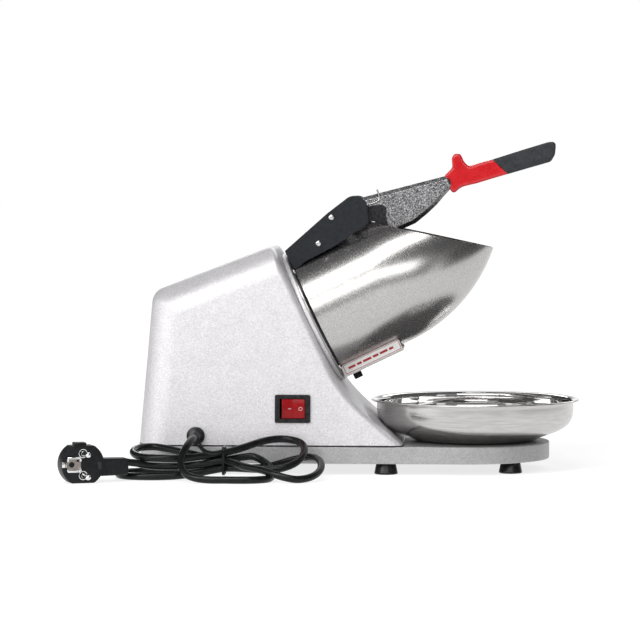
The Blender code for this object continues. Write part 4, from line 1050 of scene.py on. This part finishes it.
# --- cord, gland, plug and tie ---
CORD_ROUTE = [
    (-144.3, -94, 34.6), (-144.5, -104, 34.2), (-147, -116, 31), (-150.5, -128, 23.5),
    (-151, -138.5, 15), (-145.5, -147, 7.2), (-132, -152, 3.8), (-112, -153, 3.4),
    (-94, -153.5, 3.4), (-80, -147.5, 3.4), (-73.5, -131.5, 3.9), (-76.5, -112.5, 11.5),
    (-92, -100.5, 19), (-116, -107.8, 16.4), (-140, -104.5, 20), (-163, -91.5, 23.5),
    (-181, -83, 25.4), (-193, -92, 25), (-196, -109, 22.6), (-186, -125.5, 20.2),
    (-166, -131, 19.8), (-150, -125, 19.4), (-134, -117, 20.8), (-116, -111.4, 23),
    (-97, -100, 27.6), (-80, -87.5, 32), (-64, -81.5, 32.6), (-50, -88.5, 29.8),
    (-46.5, -106, 22.6), (-53, -123.5, 15.4), (-66, -132, 11.2), (-84, -129.8, 10.4),
    (-99, -121.5, 10.2), (-116, -114.6, 9.7), (-140, -121, 5.6), (-162, -127, 3.8),
    (-185, -128.5, 3.5), (-203, -120.5, 3.4), (-209.5, -104, 3.4), (-203, -87.5, 3.4),
    (-185, -79.5, 3.4), (-163, -84, 3.8), (-140, -96, 6.2), (-116, -107.8, 9.6),
    (-98, -103, 9), (-80, -94.5, 9.2), (-60, -85, 14), (-43, -84, 17.2),
    (-33.5, -96.5, 15.2), (-31.5, -116, 9.4), (-38, -135, 4.8), (-51, -147.5, 3.6),
    (-66, -147, 6.6), (-80, -140, 10.6), (-98, -129, 12.8), (-116, -114.8, 16.4),
    (-134, -118.4, 13.4), (-150, -121, 12.2), (-166, -121.8, 11.8), (-182, -125, 13),
    (-190.6, -128.6, 15.2), (-198.6, -131.9, 16.4),
]
TIE_PLACE = (-116, -111.8, 16.4)


def make_gland():
    """A ribbed strain relief that tapers from the wall to the cord."""
    out = GLAND_END_Y - half_width_at(GLAND_Z)
    profile = [(0, -6), (5.2, -6), (5.2, 0.8), (7.6, 0.8), (8, 1.2), (8, 2.7), (7.6, 3), (6.5, 3.3)]
    for k in range(5):
        z = 4.0 + 3.0 * k
        r = 6.3 - 0.42 * k
        profile += [(r, z), (r - 0.1, z + 1.5), (r - 0.75, z + 1.8), (r - 0.85, z + 2.6)]
    profile += [(4.1, out - 0.9), (3.9, out - 0.2), (3.6, out), (0, out)]
    dress(turned("cord_gland_fine", profile, 48, GLAND), RUBBER_AND_SEAM_SHADOW)


def make_tie():
    """One band round the five runs of cord, with its two twisted tails."""
    loops = []
    for x, half_y, half_z, radius in ((-1.2, 9.2, 11.3, 3), (-1.2, 10.1, 12.2, 3.9), (-0.8, 10.4, 12.5, 4.2),
                                      (0.8, 10.4, 12.5, 4.2), (1.2, 10.1, 12.2, 3.9), (1.2, 9.2, 11.3, 3)):
        ring = rounded_box(half_y, half_z, radius, 8)
        loops.append([(TIE_PLACE[0] + x, TIE_PLACE[1] + y, TIE_PLACE[2] + z) for y, z in ring])
    tie = dress(loft("cord_tie_fine", loops, closed=True), PVC)
    tails = []
    x, y, z = TIE_PLACE
    near = y - 11.0
    routes = ([(x, near + 0.6, z + 10), (x - 6, near - 1, z + 8.6), (x - 13, near - 1, z + 9),
               (x - 18, near - 0.5, z + 12), (x - 20.5, near, z + 17)],
              [(x, near + 0.6, z + 8.4), (x - 5, near - 1.8, z + 7), (x - 11, near - 2.2, z + 6.4),
               (x - 17, near - 1.6, z + 9), (x - 21.5, near - 1, z + 14)])
    for k, route in enumerate(routes):
        tails.append(dress(wire(f"cord_tie_tail_{k + 1}", spline(route, 24), 0.95), PVC))
    return [tie] + tails


def make_plug():
    """Two chrome pins, an earth contact's frame and clip, and a side boot on a flat-sided body."""
    def outline(inset):
        points = []
        for a in np.linspace(0, 2 * pi, 96, endpoint=False):
            x, z = (PLUG_R - inset) * cos(a), (PLUG_R - inset) * sin(a)
            points.append((x, max(-PLUG_FLAT + inset, min(PLUG_FLAT - inset, z))))
        return points
    steps = ((0, 0.6), (0.15, 0.25), (0.5, 0.05), (1, 0), (PLUG_DEPTH - 3, 0), (PLUG_DEPTH - 1.4, 0.7),
             (PLUG_DEPTH - 0.4, 2), (PLUG_DEPTH, 4))
    rings = [at_y(outline(inset), y) for y, inset in steps]
    body = loft("plug_body_fine", rings, PLUG)
    sections = []
    for x, half_y, half_z, radius in ((12, 7.6, 7.6, 1.6), (31, 7.4, 7.4, 1.6), (39.8, 7.2, 7.2, 1.8),
                                      (40.9, 6.8, 6.8, 2), (41.2, 6.2, 6.2, 2.2)):
        ring = rounded_box(half_y, half_z, radius)
        sections.append([(x, 8.4 + y, z + BOOT_DROP) for y, z in ring])
    tab = round_edges(block("plug_tab", (-6.6, 2, 14), (3.8, 12, 18.8), PLUG), 0.8, 3)
    carve(body, [loft("plug_boot", sections, PLUG)], "UNION")
    carve(body, [tab], "UNION")
    carve(body, [block("earth_recess", (-14.6, -2, -7.2), (-1, 1.3, 7.2), PLUG)])
    dress(body, PLUG_BLACK)

    pieces = [body]

    def fit(made, finish=CHROME):
        pieces.append(dress(made, finish))

    pin = [(0, GAP), (2.4, GAP), (2.4, 16.4), (2.2, 17.6), (1.7, 18.5), (0.9, 18.9), (0, 19)]
    collar = [(3.3, 0.25), (3.3, -0.25), (3.85, -0.25), (3.85, 0.25)]
    bar = [(-14.2, 2.6), (-12.6, 2.6), (-12.6, 4.9), (-3, 4.9), (-3, 2.6), (-1.4, 2.6), (-1.4, 5.6),
           (-2.4, 6.8), (-13.2, 6.8), (-14.2, 5.6)]
    for k, side in ((1, -1), (2, 1)):
        place = (0, 0, side * PIN_SPACING / 2)
        fit(turned(f"plug_pin_{k}_fine", pin, 40, PLUG @ local(place, (pi / 2, 0, 0))))
        fit(turned(f"plug_pin_collar_{k}", collar, 40, PLUG @ local(place, (-pi / 2, 0, 0))))
        outline = [(x, side * z) for x, z in bar]
        fit(round_edges(slab(f"plug_earth_bar_{k}", outline, -0.3, 1, PLUG), 0.25, 2))
    plate = block("plug_earth_plate", (-14, 0.55, -5.2), (-1.7, 1.25, 5.2), PLUG)
    carve(plate, [rod("earth_hole", 2.5, -3, 3, 32, PLUG @ local((-9.9, 0.9, 0), (pi / 2, 0, 0))),
                  block("earth_notch", (-5.6, -1, 2.4), (-3.4, 3, 4.3), PLUG)])
    fit(plate, EARTH_BRONZE)
    for k, (x0, x1) in ((1, (-18.7, -15.9)), (2, (-15.5, -14.7))):
        fit(round_edges(block(f"plug_earth_clip_{k}", (x0, -0.5, -2.3), (x1, 0.6, 2.3), PLUG), 0.2, 2))
    badge = block("plug_face_plate", (13.2, -0.25, -4.6), (16.4, 0.6, 1.8), PLUG)
    fit(round_edges(badge, 0.25, 2), BLACK)
    return pieces


def make_cord():
    fine = spline(CORD_ROUTE, 420)
    cord = wire("power_cord_fine", fine, CORD_D / 2, resolution=5)
    dress(cord, PVC)
    parts = make_tie() + make_plug()


# --- pieces that keep their CAD shape ---
REPAINTED = [
    (DISC_STEEL, 0.2, "blade_disc blade_1 blade_2 blade_3 hub_nut"),
    (SCREW_STEEL, 0.2, "drive_shaft front_bearing rear_bearing"),
    (CAST_ALLOY, 0.3, "motor_front_bell motor_rear_bell"),
    (CORE_IRON, 0, "stator_core rotor_core"),
    (BLACK_METAL, 0, "motor_can"),
    (RUBBER_AND_SEAM_SHADOW, 0, "shaft_seal"),
    (BLACK, 0, "run_capacitor cooling_fan"),
    (LABEL, 0, "terminal_block"),
    (BLACK_METAL, 0.4, "bottom_cover"),
    (DRUM_STEEL, 0.25, "outlet_chute"),
    (SCREW_STEEL, 0, "pivot_pin"),
]


def repaint_nodes():
    for finish, bevel, names in REPAINTED:
        for name in names.split():
            repaint(name, finish, bevel)


# --- floor, light and camera ---
def lamp(name, start, end, width, target, power):
    """A long softbox between two places, turned towards a point and hidden from the camera."""
    start, end = Vector(start), Vector(end)
    middle = (start + end) / 2
    back = (middle - Vector(target)).normalized()
    along = (end - start) - back * (end - start).dot(back)
    data = bpy.data.lights.new(name, "AREA")
    data.shape = "RECTANGLE"
    data.size, data.size_y = (end - start).length, width
    data.energy = power
    made = linked(name, data)
    frame_axes = Matrix((along.normalized(), back.cross(along.normalized()), back)).transposed()
    made.matrix_world = Matrix.Translation(middle) @ frame_axes.to_4x4()
    made.visible_camera = False


def matt(name, grey):
    """A plain grey material for the stage."""
    made = bpy.data.materials.new(name)
    made.use_nodes = True
    feed(made.node_tree.nodes["Principled BSDF"], {"Base Color": (grey, grey, grey, 1), "Roughness": 0.9})
    return made


def stage_face(name, corners, finish):
    """One flat piece of the stage, in metres."""
    face = solid(name, corners, [[0, 1, 2, 3]], Matrix.Identity(4))
    face.data.materials.append(finish)
    return face


FLOOR_HALF = 30.0
CARDS = {
    "card_front": ((-3.2, -4.2), (3.2, -4.2), 1.5, 0.30),
    "card_right": ((3.6, -3.2), (3.6, 2.4), 2, 0.10),
    "card_back": ((-4, 1.2), (-0.9, 3.6), 1.6, 0.06),
}
SKY = [(0, 1), (0.09, 1), (0.16, 0.55), (0.30, 0.40), (0.46, 0.12)]
SKY_TOP = (0.10, 0.10, 0.105)


def make_stage():
    pale = matt("pale_floor", 0.35)
    tree = pale.node_tree
    coord = new_node(tree, "TexCoord", {})
    reach = new_node(tree, "VectorMath", {}, operation="LENGTH")
    tree.links.new(coord.outputs["Object"], reach.inputs[0])
    glow = new_node(tree, "MapRange", {"Value": reach.outputs["Value"], "From Min": 0.6, "From Max": 2.2,
                                       "To Min": 0.78, "To Max": 1.0})
    feed(tree.nodes["Principled BSDF"], {"Specular IOR Level": 0, "Emission Color": (1, 1, 1, 1),
                                         "Emission Strength": glow.outputs["Result"]})
    half = FLOOR_HALF
    stage_face("floor", [(-half, -half, 0), (half, -half, 0), (half, half, 0), (-half, half, 0)], pale)
    for name, (start, end, height, grey) in CARDS.items():
        corners = [(*start, 0), (*end, 0), (*end, height), (*start, height)]
        stage_face(name, corners, matt(name, grey)).visible_camera = False

    world = bpy.data.worlds.new("studio")
    bpy.context.scene.world = world
    world.use_nodes = True
    tree = world.node_tree
    coord = new_node(tree, "TexCoord", {})
    split = new_node(tree, "SeparateXYZ", {"Vector": coord.outputs["Generated"]})
    stops = [(place, (level, level, level)) for place, level in SKY] + [(1, SKY_TOP)]
    feed(tree.nodes["Background"], {"Color": new_ramp(tree, split.outputs["Z"], stops), "Strength": 1.0})

    lamp("key", (-1.75, -2.1, 1.15), (0.55, -0.35, 2.15), 0.62, (0, 0, 0.16), 36)
    lamp("front", (-1.5, -2.9, 1.15), (1.3, -2.9, 1.15), 0.8, (-0.05, 0, 0.12), 22)
    lamp("side", (-2.4, -1.9, 0.75), (-2.7, -0.5, 0.75), 1.1, (-0.1, 0, 0.12), 9)
    lamp("rim", (-0.8, 1.9, 1.1), (1.2, 1.9, 1.1), 0.6, (0, 0, 0.15), 14)


def make_camera():
    data = bpy.data.cameras.new("camera")
    data.sensor_width = 36.0
    data.lens = 162.6
    data.clip_end = 100.0
    camera = linked("camera", data)
    camera.location = (0.095, -2.62, 0.2555)
    way = Vector((-0.0378, 0, 0.1341)) - camera.location
    camera.rotation_euler = way.to_track_quat("-Z", "Y").to_euler()
    bpy.context.scene.camera = camera


for make in (make_base, make_housing, make_drum, make_chute, make_flange_screws, make_bracket, make_spring,
             make_lever, make_press_plate, make_grips, make_bowl, make_switch, make_gland, make_cord,
             repaint_nodes, make_stage, make_camera):
    make()
bpy.context.scene.view_settings.view_transform = "Standard"
